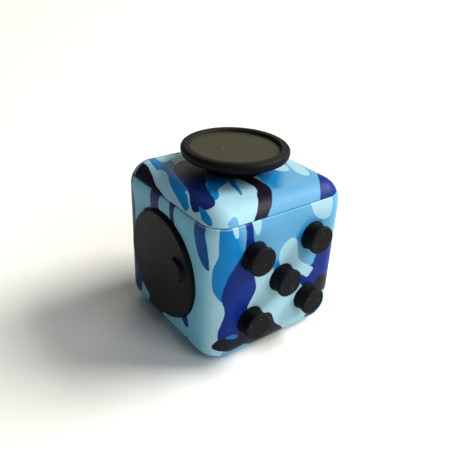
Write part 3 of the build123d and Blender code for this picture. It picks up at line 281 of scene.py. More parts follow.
BODY_PATCHES = (
    # painted shade: the ground of the whole left face, the side turned from the lights, is a bluer ink laid
    # deeper than the rest, fading out at the corner
    up(
        Ink.SHADED_MIST,
        ((-2, -35.5), (33, -35.5)),
        ((-2, -1.2), (33, -1.2)),
        2.6,
    ),
    # front face: s runs right from the front-left corner, z runs up
    across(
        Ink.SKY,
        ((7, 21), (9, 20.6), (12, 20), (13, 19), (13.4, 18.4), (14.2, 18), (15, 18), (15.8, 17),
         (19.4, 17), (21, 16.5), (23, 15.6), (36, 15.5)),
        ((7, 34), (36, 34)),
    ),
    across(
        Ink.AZURE,
        ((13, 17.8), (13.6, 17.4), (14.4, 17.4), (15, 17.6)),
        ((13, 18), (13.6, 20.6), (14.4, 20.8), (15, 19)),
        1.4,
    ),
    across(
        Ink.AZURE,
        ((18, 23.6), (20, 22), (22, 21), (25, 22)),
        ((18, 23.8), (20, 26.2), (22, 27), (25, 26.4)),
        2.0,
    ),
    across(
        Ink.SKY,
        ((1.8, 1), (3, -1), (8, -1), (9.8, 1)),
        ((1.8, 1.2), (2.4, 3.6), (8, 3.4), (9.8, 1.2)),
    ),
    across(
        Ink.ROYAL,
        ((20.7, 13.4), (20.9, 12.6), (21.3, 12), (21.8, 11.6), (22.5, 11), (24, 10), (26, 9),
         (36, 8.4)),
        ((20.7, 14.4), (20.9, 15), (21.5, 15.8), (23, 16.4), (23.8, 16.6), (24.2, 18.2), (24.8, 19.2),
         (36, 19.4)),
    ),
    across(
        Ink.PLUM,
        ((25, 10.2), (26, 8.6), (36, 7.6)),
        ((25, 10.4), (25.4, 11.8), (25.9, 12.5), (26.5, 12.7), (27.2, 12.5), (27.9, 12.1), (30, 11),
         (36, 10.6)),
        0.3,
    ),
    across(
        Ink.ROYAL,
        ((23.5, 3), (24.3, 2.4), (26, 2.2), (27, 2.8)),
        ((23.5, 3.2), (24.5, 3.9), (26, 3.7), (27, 3)),
        0.3,
    ),
    up(
        Ink.ICE,
        ((13.6, 22.5), (14, 22), (14.4, 21.5), (14.9, 20.9), (15.3, 17), (16.4, 16), (18, 15.3),
         (19, 14.8), (20, 14.4), (21, 14.2), (22, 14.25), (22.6, 14.4), (23.4, 15), (24, 15.6),
         (24.3, 16.2), (24.55, 17)),
        ((13.6, 22.7), (14, 23.1), (14.4, 23.45), (14.8, 23.75), (15.2, 23.95), (15.5, 23.85),
         (16, 23.4), (16.5, 22.7), (17, 21.9), (17.5, 21.1), (18, 20.5), (19, 19.65), (20, 19.25),
         (21, 19), (22, 18.9), (23, 18.75), (24, 18.2), (24.3, 17.9), (24.55, 17.3)),
    ),
    across(
        Ink.ICE,
        ((21.4, 32), (21.7, 29.6), (22, 28.7), (22.5, 27.9), (23.2, 27.2), (24, 26.7), (25, 26.3),
         (25.8, 26.2), (26.5, 26.35), (26.9, 26.8), (27.15, 27.8), (27.4, 32)),
        ((21.4, 32.1), (22.4, 34), (26.4, 34), (27.4, 32.1)),
    ),
    up(
        Ink.ICE,
        ((27.6, 8.5), (27.8, 8.2), (28.2, 8), (29, 7.75), (29.7, 7.5), (31, 7.2)),
        ((27.6, 8.6), (27.8, 8.9), (28.2, 9.1), (29, 9.3), (30, 9.5), (31, 9.7)),
    ),
    # front-left corner
    up(
        Ink.AZURE,
        ((15.2, 1.6), (15.5, 1.3), (16, 0.9), (17, 0.2), (18, -0.2), (20, -0.45), (21.5, -0.4),
         (23, -0.1), (24, 0.25), (25, 0.6), (27, 0.65), (31, 0.6)),
        ((15.2, 1.8), (16, 2.5), (20, 3.5), (24, 6.2), (31, 6.6)),
    ),
    up(
        Ink.SKY,
        ((25.2, 5.8), (26.5, 5.2), (28, 4.8), (31, 4.2)),
        ((25.2, 6.1), (26.5, 6.6), (31, 6.8)),
        1.6,
    ),
    up(
        Ink.ICE,
        ((28.2, 3.95), (28.5, 3.6), (29, 3.4), (31, 3.2)),
        ((28.2, 4.05), (28.5, 4.25), (29, 4.35), (31, 4.4)),
    ),
    up(
        Ink.ROYAL,
        ((5.6, 1.2), (6.4, 1.05), (7.4, 0.92), (8, 0.95), (9, 1.15), (10, 1.5), (11, 1.85), (12, 2.08),
         (13, 2.15), (14, 2), (15, 1.62), (16, 1.45), (17, 1.55), (18, 1.72), (19, 2), (20, 2.35),
         (21, 2.8), (22, 3.35), (23, 4.1), (24, 5.1), (25, 5.65), (26, 5.9), (28, 6), (31, 6)),
        ((5.6, 6.6), (7, 6.9), (10, 7.2), (12, 7.3), (12.5, 7.4), (13, 7.6), (13.5, 7.9), (14, 8.2),
         (14.5, 8.5), (15, 8.75), (15.5, 8.95), (16, 9.1), (17, 9), (18, 8.75), (20, 8.4), (23, 8.4),
         (26.3, 8), (27, 7.8), (28, 7.6), (31, 7.4)),
    ),
    across(
        Ink.PLUM,
        ((-0.15, 4.65), (0.3, 4.2), (1, 3.9), (2, 3.55), (3, 3.25), (4, 3), (5, 2.9), (6, 3),
         (7, 3.15), (8, 2.8), (9, 2.2), (9.8, 1.2), (11, 0.4), (18.6, 0.4)),
        ((-0.15, 4.75), (0, 5.1), (0.3, 5.6), (0.8, 6.2), (1.3, 6.6), (2, 6.7), (3, 6.5), (4, 6.2),
         (5, 6.1), (6, 6.6), (8, 7.8), (10, 8.6), (12, 9), (12.8, 8.8), (13.5, 8.3), (14, 7.6),
         (14.3, 6.8), (14.6, 6), (15, 5.2), (15.5, 4.6), (16.2, 4.1), (17, 3.3), (17.8, 2.2),
         (18.6, 0.6)),
    ),
    across(
        Ink.AZURE,
        ((2.5, 6.65), (3, 6.45), (4, 6.1), (5, 5.85), (5.5, 6)),
        ((2.5, 6.75), (3, 6.95), (4, 7.05), (5, 6.8), (5.5, 6.3)),
    ),
    # left face: s runs left from the corner as negative numbers
    up(
        Ink.DEEP,
        ((21.8, -1.15), (22, -1.5), (22.3, -1.9), (23, -2.5), (24, -3.1), (25, -3.65), (26, -4.1),
         (27, -4.5), (28, -4.8), (29, -5), (31, -5.3)),
        ((21.8, -1.05), (22, -0.98), (22.3, -0.93), (23, -0.95), (24, -1.05), (25, -1.2), (26, -1.35),
         (27, -1.55), (28, -1.8), (29, -2), (31, -2.3)),
    ),
    up(
        Ink.NAVY,
        ((22, -11.6), (26, -12.4), (28, -12.9), (29, -13.2), (31, -14)),
        ((22, -11.4), (26, -11.3), (28, -11.5), (29, -11.7), (31, -12.2)),
    ),
    up(
        Ink.NAVY,
        ((22, -23.6), (24.5, -23), (25.2, -22.6), (25.6, -22.2), (26, -21.6), (26.4, -20.6), (27, -20),
         (28, -20.2), (29, -20.3), (31, -20.6)),
        ((22, -15), (26, -16), (27.5, -16.6), (28, -16.9), (29, -17.1), (31, -17.6)),
    ),
    up(
        Ink.STEEL,
        ((14, -29.6), (17, -30.6), (24, -31.6), (31, -31)),
        ((14, -29.4), (17, -28), (20, -26.8), (22, -26.5), (24, -26.5), (26, -26.9), (28, -27.6),
         (31, -28.2)),
        0.4,
    ),
    up(
        Ink.NAVY,
        ((2.4, -27.4), (3, -29.6), (4.5, -31), (8, -31), (11, -29), (12.6, -26.4)),
        ((2.4, -27.2), (3.4, -25.8), (4, -25.2), (5, -24.9), (6, -24.7), (7, -24.3), (12.6, -24)),
    ),
    up(
        Ink.PLUM,
        ((-1, -33), (1, -25), (1.5, -23.8), (2, -23), (3, -22.2), (4, -21.8), (6, -21)),
        ((-1, -21), (1, -18.2), (2, -17.3), (3, -16.5), (4, -15.7), (6, -14)),
    ),
    up(
        Ink.STEEL,
        ((0.8, -10), (1.5, -8.8), (2.2, -8), (3, -7.4), (3.8, -6.9)),
        ((0.8, -9.8), (1.5, -8.1), (2.2, -7.3), (3, -6.8), (3.8, -6.7)),
        0.3,
    ),
    up(
        Ink.NAVY,
        ((5.8, -7.2), (6.2, -7.9), (7, -8.6), (9.2, -8)),
        ((5.8, -7), (6.2, -6.5), (7, -6.3), (8, -6.6), (9.2, -7.4)),
    ),
)

COVER_PATCHES = (
    up(
        Ink.SKY,
        ((-18, -4.8), (-16.7, -4.4), (-14.8, -2.4), (-12.8, -1), (-11, 0), (-9, 0.4), (-4, 0.6),
         (2, 1)),
        ((-18, 30), (2, 30)),
    ),
    up(
        Ink.AZURE,
        ((-12, 0.8), (-11, 0), (-4, 0.4), (2, 0.6)),
        ((-12, 1.2), (-10, 3.4), (-8, 5.6), (-6, 7.6), (-3, 9.6), (2, 11)),
        2.6,
    ),
    up(
        Ink.ROYAL,
        ((-18, 8), (-16.8, 8.6), (-14.6, 9.8), (-12.8, 11), (-11, 12.2), (-9.6, 14), (-7.6, 16.6),
         (-7.2, 17.6)),
        ((-18, 30), (-9, 30), (-7.2, 17.8)),
    ),
    up(
        Ink.ICE,
        ((-7.3, 0.95), (-6.6, 0.6), (-5.6, 0.5), (-3, 0.4)),
        ((-7.3, 1.05), (-6.6, 1.2), (-5.6, 1.6), (-3, 2.4)),
    ),
    up(
        Ink.ICE,
        ((-6.6, 8.1), (-6.3, 7.4), (-5.6, 6.8), (-4.6, 6.4), (-3, 6.6), (-2.4, 7.4)),
        ((-6.6, 8.3), (-6.3, 8.9), (-5.6, 9.4), (-4.6, 9.8), (-3, 9.6), (-2.4, 7.6)),
    ),
    up(
        Ink.ICE,
        ((-10.4, 10.2), (-9.8, 9.6), (-8, 9.4), (-6, 9.9), (-3, 10.8), (0, 11.4), (3, 11.8)),
        ((-10.4, 10.4), (-9.8, 11.2), (-8, 12), (-6, 12.5), (-3, 13), (0, 13.4), (3, 13)),
    ),
    up(
        Ink.ICE,
        ((-5.6, 17.2), (-4.6, 16.3), (-2, 15.6), (1, 15.4), (2.6, 16)),
        ((-5.6, 17.4), (-4.6, 19), (0, 20), (2.6, 16.2)),
    ),
    up(
        Ink.PLUM,
        ((-18, -8.4), (-16.7, -7.4), (-14.4, -5.4), (-12.2, -4), (-10, -2.5), (-8, -2.1), (-6, -2.2),
         (-4, -2.4), (3, -3)),
        ((-18, -5.2), (-16.7, -4.3), (-14.8, -2.4), (-12.8, -1), (-11, 0), (-9, 0.4), (-6, 0.3),
         (-4, 0.1), (3, 0.2)),
    ),
    up(
        Ink.SKY,
        ((-18, -12.4), (-16.6, -12.8), (-16.1, -13.1), (-15.6, -12.4), (-15.1, -11.2)),
        ((-18, -10.8), (-16.6, -10.7), (-15.6, -10.6), (-15.1, -10.9)),
    ),
    up(
        Ink.AZURE,
        ((-10.7, -6.6), (-10, -6.4), (-8, -5.8), (-6.4, -5.6), (-5, -5), (-3, -4.3), (0, -4)),
        ((-10.7, -6.4), (-10, -5.8), (-8.6, -5.2), (-6.5, -4.4), (-5, -3.7), (-3, -2.8), (0, -2.6)),
    ),
    # left part: bands that run front to back
    up(
        Ink.AZURE,
        ((-7, -16.7), (-4, -15.9), (-2, -15.3), (0, -14.7), (2, -14), (4, -13), (6, -12.6), (8, -13.4),
         (14, -13)),
        ((-7, -15.2), (-4, -13.6), (0, -12.2), (4, -11), (6, -10), (8, -9), (14, -8.6)),
    ),
    # the royal ink's band, laid in the darker navy as a painted shadow of the pad falling across it
    up(
        Ink.NAVY,
        ((-11.4, -13.6), (-10.8, -14.5), (-10, -15.2), (-8.6, -15.9), (-6, -14.5), (-3.5, -13.3),
         (0, -12.4), (3, -11.7), (5, -11), (7, -9.4), (8.4, -7)),
        ((-11.4, -13), (-10.8, -12.3), (-10.2, -11.9), (-8.8, -11.2), (-7, -10.7), (-4.5, -9.8),
         (-2.5, -8.5), (0, -6), (3, -4.5), (7, -5), (8.4, -6.8)),
    ),
    up(
        Ink.AZURE,
        ((-10, -11.9), (-9.2, -11.4), (-8, -10.95), (-6, -10.45), (-4, -9.4), (-3, -8.7), (0, -7)),
        ((-10, -11.7), (-9.4, -10.6), (-8.5, -9.8), (-7.5, -9.3), (-6.4, -8.4), (-5.8, -7.4),
         (-5.4, -6.4), (-4.6, -5.2), (0, -3)),
    ),
    up(
        Ink.AZURE,
        ((-14.3, -15.8), (-13.5, -16.2), (-12, -16.3), (-10.5, -15.6), (-9.4, -15), (-8.8, -14.6)),
        ((-14.3, -15.6), (-13.2, -15), (-12, -14.8), (-10.5, -14.5), (-9.2, -14.5), (-8.8, -14.4)),
    ),
    up(
        Ink.ICE,
        ((-4.4, -16.9), (-2, -16.6), (0, -16.4), (2, -16.2), (4, -15.9), (6, -15.2), (8, -14.4),
         (10, -13.9), (13, -13.6)),
        ((-4.4, -16.7), (-2, -15.5), (0, -14.7), (2, -14), (4, -13), (6, -12.6), (6.5, -12.8),
         (6.6, -13.7), (8, -13.3), (10, -12.9), (13, -12.4)),
    ),
    up(
        Ink.ICE,
        ((-10, -17.2), (-8, -16.2), (-6, -15), (-4.4, -14.1), (-3.3, -13.7)),
        ((-10, -16.9), (-8, -15.7), (-6, -14.7), (-4.4, -13.7), (-3.3, -13.5)),
    ),
    up(
        Ink.PLUM,
        ((-1.4, -17.3), (0, -24), (14, -24)),
        ((-1.4, -17.1), (0, -16.8), (2, -16.4), (4, -16), (6, -15.3), (8, -14.5), (10, -13.9),
         (14, -13.7)),
    ),
    up(
        Ink.ICE,
        ((9.3, -10.2), (9.8, -10.8), (11, -11), (14, -10.6)),
        ((9.3, -9.9), (9.8, -8.6), (11, -6.6), (14, -5)),
    ),
)


class Face(Enum):
    """How a printed film lies: wrapped round the body's sides, or folded down over the cover."""

    WRAPPED = "body"
    FOLDED = "cover"


@dataclass(frozen=True)
class PrintedFilm:
    """Water-transfer camouflage film on injection-moulded ABS, under a satin lacquer.

    The ink edges are crisp, the lacquer softens the highlights and shows a faint orange peel, and
    tiny trapped-dust pits catch the light. Holes cut through it show the plain black ABS beneath.
    """

    name: str
    face: Face
    patches: tuple[Patch, ...]
    flat: float  # half width in mm of the flat part between the rounded edges
    fold: float  # radius in mm of the rounded edge that the film turns over
    fold_z: float  # height in mm where that rounding starts
    pool: float  # radius at which the inks run on as a free pattern
    ABS_BLACK = "121215"
    ROUGHNESS = 0.44
    SPECULAR = 0.1
    IOR = 1.5
    PEEL_PER_MM = 2.4
    PEEL_DEPTH = 0.012
    PIT_PER_MM = 0.9
    PIT_DEPTH = 0.02
    PIT_RARE = 0.86  # level of chance over which a cell holds a pit
    WOBBLE = 0.16  # mm that the ink edges stray
    WOBBLE_PER_MM = 0.55
    GLINT_COLOUR = "dfe9ea"
    # painted highlight: a pale colour laid in patches along the seam's lips, standing for the lit edge of
    # the lip
    LIP_WIDTH = 0.24
    GLINT_LIP = 0.05  # share of the painted highlight along the seam
    GLINT_CORNER = 0.4  # further share of the painted highlight at the corners
    CORNER_REACH = 6.5  # mm back from the corner, along the faces, where that starts
    TONE_PER_MM = 0.35
    GRAIN_PER_MM = 6.0
    BLOT_PER_MM = 0.13
    BLOT_SQUASH = 0.62  # the free blots are taller than wide
    BLOTS = ((Ink.SKY, 0.0, 0.51), (Ink.AZURE, 17.0, 0.56), (Ink.ROYAL, 31.0, 0.55), (Ink.PLUM, 53.0, 0.585))
    DRAWN_BODY = -13.4  # x or y in mm under which the body's pattern is drawn
    DRAWN_FOOT = 0.35  # height in mm where the drawn pattern starts
    DRAWN_BACK = 12.4  # how far back in mm the cover's pattern is drawn
    DRAWN_RIGHT = 13.4  # how far right in mm it is drawn
    DRAWN_FRONT = 3.4  # how far back in mm it is drawn further right than that
    STRAY = 5.0  # mm that the drawn part's edge wanders

    def unroll(self, g: Graph, point: Socket) -> tuple[Socket, Socket, Socket]:
        """Works out where a surface point lies on the flat sheet.

        Args:
            g: the material's graph.
            point: the surface point in mm.

        Returns:
            The first and second place on the sheet in mm, and the distance out from the flat part.
        """
        low = (-self.flat, -self.flat, 0.0)
        high = (self.flat, self.flat, 0.0)
        core = g.vector("MINIMUM", g.vector("MAXIMUM", point, low).outputs[0], high).outputs[0]
        out = g.vector("MULTIPLY", g.vector("SUBTRACT", point, core).outputs[0], (1.0, 1.0, 0.0)).outputs[0]
        reach = g.vector("LENGTH", out).outputs["Value"]
        parts = g.add("SeparateXYZ", {0: core}).outputs
        z = g.add("SeparateXYZ", {0: point}).outputs[2]
        if self.face is Face.WRAPPED:
            half = math.sqrt(0.5)
            onward = g.vector("DOT_PRODUCT", out, (-half, -half, 0.0)).outputs["Value"]
            aside = g.vector("DOT_PRODUCT", out, (half, -half, 0.0)).outputs["Value"]
            turn = g.math("ARCTAN2", aside, onward)
            run = g.math("SUBTRACT", parts[0], parts[1])
            return g.math("MULTIPLY_ADD", turn, self.fold_corner(), run), z, reach
        lean = g.math("ARCTAN2", reach, g.math("SUBTRACT", z, self.fold_z))
        spread = g.math("DIVIDE", g.math("MULTIPLY", lean, self.fold), g.math("MAXIMUM", reach, 0.001))
        fold = g.add("VectorMath", {0: out, "Scale": spread}, operation="SCALE").outputs[0]
        laid = g.add("SeparateXYZ", {0: g.vector("ADD", core, fold).outputs[0]}).outputs
        return laid[0], laid[1], reach

    def fold_corner(self) -> float:
        """The radius of the body's upright corners, in mm."""
        return SIDE_HALF - self.flat

    def cover_share(self, g: Graph, patch: Patch, first: Socket, second: Socket) -> Socket:
        """How far a patch's ink covers a point, from 0 to 1.

        Args:
            g: the material's graph.
            patch: the patch.
            first: the point's first place on the sheet, as a share of its width.
            second: its second place, as a share.

        Returns:
            The share of ink.
        """
        along, place = (second, first) if patch.along is Along.UP else (first, second)
        low, high = patch.edges()
        left = g.add("FloatCurve", {"Value": along}, points=on_sheet(low)).outputs[0]
        right = g.add("FloatCurve", {"Value": along}, points=on_sheet(high)).outputs[0]
        inside = g.math("MINIMUM", g.math("SUBTRACT", place, left), g.math("SUBTRACT", right, place))
        return g.math("MULTIPLY_ADD", inside, SPAN / patch.soft, 0.5, clamp=True)

    def free_pattern(self, g: Graph, point: Socket) -> Socket:
        """The pattern on the faces away from the drawn ones: layered blots of the same inks.

        Args:
            g: the material's graph.
            point: the surface point in mm.

        Returns:
            Its colour.
        """
        tall = g.vector("MULTIPLY", point, (1.0, 1.0, self.BLOT_SQUASH)).outputs[0]
        colour = linear(Ink.ICE.value)
        for ink, shift, level in self.BLOTS:
            moved = g.vector("ADD", tall, (shift, shift, 0.0)).outputs[0]
            blot = g.noise(moved, self.BLOT_PER_MM, 0.6, Distortion=0.7)
            colour = g.blend(g.step(blot, level, 0.008), colour, linear(ink.value))
        return colour

    def drawn_share(self, g: Graph, point: Socket, first: Socket, second: Socket) -> Socket:
        """Where the drawn patches give way to the free pattern.

        Args:
            g: the material's graph.
            point: the surface point in mm.
            first: first place on the sheet, in mm.
            second: second place, in mm.

        Returns:
            1 on the drawn faces and 0 beyond them, with a wandering edge.
        """
        wander = g.math("MULTIPLY_ADD", g.noise(point, 0.22, 1.0), self.STRAY, -self.STRAY / 2)
        if self.face is Face.WRAPPED:
            parts = g.add("SeparateXYZ", {0: point}).outputs
            behind = g.math("MINIMUM", parts[0], parts[1])
            side = g.math("ADD", behind, g.math("MULTIPLY", wander, 0.5))
            drawn = g.math("SUBTRACT", 1.0, g.step(side, self.DRAWN_BODY, 0.1))
            return g.math("MULTIPLY", drawn, g.step(second, self.DRAWN_FOOT, 0.1))
        back = g.math("SUBTRACT", self.DRAWN_BACK, second)
        right = g.math("SUBTRACT", self.DRAWN_RIGHT, first)
        corner = g.math("MAXIMUM", right, g.math("SUBTRACT", self.DRAWN_FRONT, second))
        return g.step(g.math("ADD", g.math("MINIMUM", back, corner), wander), 0.0, 0.1)

    def outside(self, g: Graph, reach: Socket, z: Socket) -> Socket:
        """Tells the film's outer skin from the plastic inside holes and walls.

        Args:
            g: the material's graph.
            reach: the distance out from the flat part, in mm.
            z: the height in mm.

        Returns:
            1 on the skin and 0 inside.
        """
        flat = g.math("MAXIMUM", g.math("SUBTRACT", reach, self.pool), 0.0)
        over = g.math("MAXIMUM", g.math("SUBTRACT", z, LID_FOLD_Z), 0.0)
        under = g.math("MAXIMUM", g.math("SUBTRACT", self.fold_z, z), 0.0)
        rise = g.math("ADD", over, under) if self.face is Face.WRAPPED else over
        distance = g.math("SQRT", g.math("ADD", g.math("POWER", flat, 2.0), g.math("POWER", rise, 2.0)))
        return g.step(distance, self.fold - 0.17, 0.05)

    def seam_glint(self, g: Graph, point: Socket, z: Socket) -> Socket:
        """A painted highlight in pale patches along the seam's lips, strongest at two corners.

        Args:
            g: the material's graph.
            point: the surface point in mm.
            z: its height in mm.

        Returns:
            A share from 0 to 1.
        """
        lip = g.step(g.math("ABSOLUTE", g.math("SUBTRACT", z, SEAM_Z)), self.LIP_WIDTH, 0.12)
        parts = g.add("SeparateXYZ", {0: point}).outputs
        lean = g.math("ADD", parts[0], parts[1])
        corner = g.step(g.math("ABSOLUTE", lean), 2 * SIDE_HALF - self.CORNER_REACH, 4.0)
        patchy = g.step(g.noise(point, 0.7, 3.0), 0.52, 0.45)
        painted_glint = g.math("MULTIPLY", g.math("SUBTRACT", 1.0, lip), patchy)
        amount = g.math("MULTIPLY_ADD", corner, self.GLINT_CORNER, self.GLINT_LIP)
        return g.math("MULTIPLY", painted_glint, amount)

    def wobbled(self, g: Graph, point: Socket, first: Socket, second: Socket) -> list[Socket]:
        """Turns a place on the sheet into shares of its width, with a slight stray of the ink edges.

        Args:
            g: the material's graph.
            point: the surface point in mm.
            first: first place on the sheet, in mm.
            second: second place, in mm.

        Returns:
            The first and the second place, as shares.
        """
        wave = g.add("TexNoise", {"Vector": point, "Scale": self.WOBBLE_PER_MM, "Detail": 2.0})
        nudge = g.add("SeparateColor", {0: wave.outputs["Color"]}).outputs
        slack = 2 * self.WOBBLE / SPAN
        shares = []
        for index, place in enumerate((first, second)):
            share = g.math("MULTIPLY_ADD", place, 1 / SPAN, 0.5)
            stray = g.math("MULTIPLY_ADD", nudge[index], slack, -slack / 2)
            shares.append(g.math("ADD", share, stray))
        return shares

    def printed(self, g: Graph, point: Socket, first: Socket, second: Socket) -> Socket:
        """The ink at a point: the drawn patches in their order, and the free pattern beyond them.

        Args:
            g: the material's graph.
            point: the surface point in mm.
            first: first place on the sheet, in mm.
            second: second place, in mm.

        Returns:
            Its colour.
        """
        first_share, second_share = self.wobbled(g, point, first, second)
        colour = linear(Ink.ICE.value)
        for patch in self.patches:
            share = self.cover_share(g, patch, first_share, second_share)
            colour = g.blend(share, colour, linear(patch.ink.value))
        drawn = self.drawn_share(g, point, first, second)
        return g.blend(drawn, self.free_pattern(g, point), colour)

    def mottled(self, g: Graph, point: Socket, colour: Socket) -> Socket:
        """Varies the print's depth, slowly over each face and in a fine grain.

        Args:
            g: the material's graph.
            point: the surface point in mm.
            colour: the ink.

        Returns:
            The varied colour.
        """
        tone = g.math("MULTIPLY_ADD", g.noise(point, self.TONE_PER_MM, 3.0), 0.16, 0.92)
        grain = g.math("MULTIPLY_ADD", g.noise(point, self.GRAIN_PER_MM, 2.0), 0.10, 0.95)
        shade = g.math("MULTIPLY", tone, grain)
        tint = g.add("CombineColor", {0: shade, 1: shade, 2: shade}).outputs[0]
        mix = g.add("Mix", {0: 1.0, 6: colour, 7: tint}, data_type="RGBA", blend_type="MULTIPLY")
        return mix.outputs[2]

    def relief(self, g: Graph, point: Socket) -> Socket:
        """The lacquer's orange peel and its rare dust pits.

        Args:
            g: the material's graph.
            point: the surface point in mm.

        Returns:
            The surface normal.
        """
        cells = g.add("TexVoronoi", {"Vector": point, "Scale": self.PIT_PER_MM})
        chance = g.add("SeparateColor", {0: cells.outputs["Color"]}).outputs[0]
        rare = g.step(chance, self.PIT_RARE, 0.01)
        near = g.math("SUBTRACT", 1.0, g.step(cells.outputs["Distance"], 0.09, 0.06))
        pit = g.math("MULTIPLY", near, rare)
        peel = g.bump(g.noise(point, self.PEEL_PER_MM, 2.0), self.PEEL_DEPTH)
        return g.bump(g.math("SUBTRACT", 1.0, pit), self.PIT_DEPTH, peel)

    def material(self) -> bpy.types.Material:
        """Builds the film's material.

        Returns:
            The material.
        """
        g = graph(self.name)
        point = g.place()
        z = g.add("SeparateXYZ", {0: point}).outputs[2]
        first, second, reach = self.unroll(g, point)
        colour = self.mottled(g, point, self.printed(g, point, first, second))
        # painted highlight: pale patches along the seam's lips, strongest at two corners
        colour = g.blend(self.seam_glint(g, point, z), colour, linear(self.GLINT_COLOUR))
        colour = g.blend(self.outside(g, reach, z), linear(self.ABS_BLACK), colour)
        rough = g.math("MULTIPLY_ADD", g.noise(point, 0.5, 3.0), 0.14, self.ROUGHNESS - 0.07)
        shader = g.add(
            "BsdfPrincipled",
            {
                "Base Color": colour,
                "Roughness": rough,
                "IOR": self.IOR,
                "Specular IOR Level": self.SPECULAR,
                "Normal": self.relief(g, point),
            },
        )
        return g.close(shader)


# ------------------------------------------------------------------------------------------------
# Plain finishes
# ------------------------------------------------------------------------------------------------


@dataclass(frozen=True)
class Moulded:
    """An injection-moulded plastic or rubber with a spark-eroded surface.

    The fine grain scatters the highlight, slow changes of tone and gloss come from handling, and
    pale dust sits on the dark grades.
    """

    name: str
    colour: str
    # tone that handling wears in; the same name also serves the painted sheen of the pad's dish
    wear_and_sheen: str
    roughness: float
    grain_per_mm: float
    grain_depth: float
    dust: float = 0.0
    ior: float = 1.5
    dish_sheen_colour: str = ""  # painted reflection: the lighter olive sheen of a round hollow, if there is one
    dish_radius: float = 0.0
    dish_z: float = 0.0
    SPECULAR = 0.1
    DUST_COLOUR = "8f948f"
    DUST_PER_MM = 2.2

    def relief(self, g: Graph, point: Socket) -> Socket:
        """The spark-eroded grain over a faint sink of the moulded wall.

        Args:
            g: the material's graph.
            point: the surface point in mm.

        Returns:
            The surface normal.
        """
        fine = g.noise(point, self.grain_per_mm, 3.0)
        sink = g.bump(g.noise(point, 0.35, 2.0), 0.03)
        return g.bump(fine, self.grain_depth, sink)

    def with_dish_sheen(self, g: Graph, point: Socket, handled: Socket, colour: Socket) -> Socket:
        """Lays a painted reflection, the hollow's lighter olive sheen, over the plain colour.

        Args:
            g: the material's graph.
            point: the surface point in mm.
            handled: how much each place has been handled, from 0 to 1.
            colour: the plain colour.

        Returns:
            The colour with the painted sheen in the hollow.
        """
        parts = g.add("SeparateXYZ", {0: point}).outputs
        square = g.math("ADD", g.math("POWER", parts[0], 2.0), g.math("POWER", parts[1], 2.0))
        inside = g.math("SUBTRACT", 1.0, g.step(g.math("SQRT", square), self.dish_radius, 0.5))
        share = g.math("MULTIPLY", inside, g.step(parts[2], self.dish_z, 0.1))
        # painted reflection: the sheen's share varies with the handling noise
        wear_and_sheen = g.math("MULTIPLY_ADD", handled, 0.3, 0.8, clamp=True)
        return g.blend(g.math("MULTIPLY", share, wear_and_sheen), colour, linear(self.dish_sheen_colour))

    def dusted(self, g: Graph, point: Socket, colour: Socket) -> Socket:
        """Scatters specks of pale dust, one in each of a few cells.

        Args:
            g: the material's graph.
            point: the surface point in mm.
            colour: the clean colour.

        Returns:
            The dusty colour.
        """
        cells = g.add("TexVoronoi", {"Vector": point, "Scale": self.DUST_PER_MM})
        chance = g.add("SeparateColor", {0: cells.outputs["Color"]}).outputs[1]
        rare = g.step(chance, 1 - self.dust, 0.01)
        speck = g.math("SUBTRACT", 1.0, g.step(cells.outputs["Distance"], 0.1, 0.08))
        share = g.math("MULTIPLY", g.math("MULTIPLY", speck, rare), 0.6)
        return g.blend(share, colour, linear(self.DUST_COLOUR))

    def material(self) -> bpy.types.Material:
        """Builds the material.

        Returns:
            The material.
        """
        g = graph(self.name)
        point = g.place()
        handled = g.noise(point, 0.4, 4.0, Roughness=0.6)
        colour = g.blend(g.step(handled, 0.56, 0.3), linear(self.colour), linear(self.wear_and_sheen))
        if self.dish_sheen_colour:
            # painted reflection: the round hollow's lighter olive sheen
            colour = self.with_dish_sheen(g, point, handled, colour)
        if self.dust:
            colour = self.dusted(g, point, colour)
        rough = g.math("MULTIPLY_ADD", handled, 0.2, self.roughness - 0.1, clamp=True)
        shader = g.add(
            "BsdfPrincipled",
            {
                "Base Color": colour,
                "Roughness": rough,
                "IOR": self.ior,
                "Specular IOR Level": self.SPECULAR,
                "Normal": self.relief(g, point),
            },
        )
        return g.close(shader)


@dataclass(frozen=True)
class Metal:
    """A bare or plated metal whose making leaves lines along one way.

    Drawn wire and turned screws show fine lines, plating shows a slow change of tone, and a
    polished ball shows almost nothing but its reflections.
    """

    name: str
    colour: str
    stain: str
    roughness: float
    lines: tuple[float, float, float]  # lines per mm along X, Y and Z
    line_depth: float

    def material(self) -> bpy.types.Material:
        """Builds the material.

        Returns:
            The material.
        """
        g = graph(self.name)
        point = g.place()
        cloud = g.noise(point, 0.8, 4.0)
        colour = g.blend(g.step(cloud, 0.58, 0.25), linear(self.colour), linear(self.stain))
        drawn = g.noise(g.vector("MULTIPLY", point, self.lines).outputs[0], 1.0, 2.0)
        rough = g.math("MULTIPLY_ADD", drawn, 0.16, self.roughness - 0.08, clamp=True)
        shader = g.add(
            "BsdfPrincipled",
            {
                "Base Color": colour,
                "Metallic": 1.0,
                "Roughness": rough,
                "Normal": g.bump(drawn, self.line_depth),
            },
        )
        return g.close(shader)


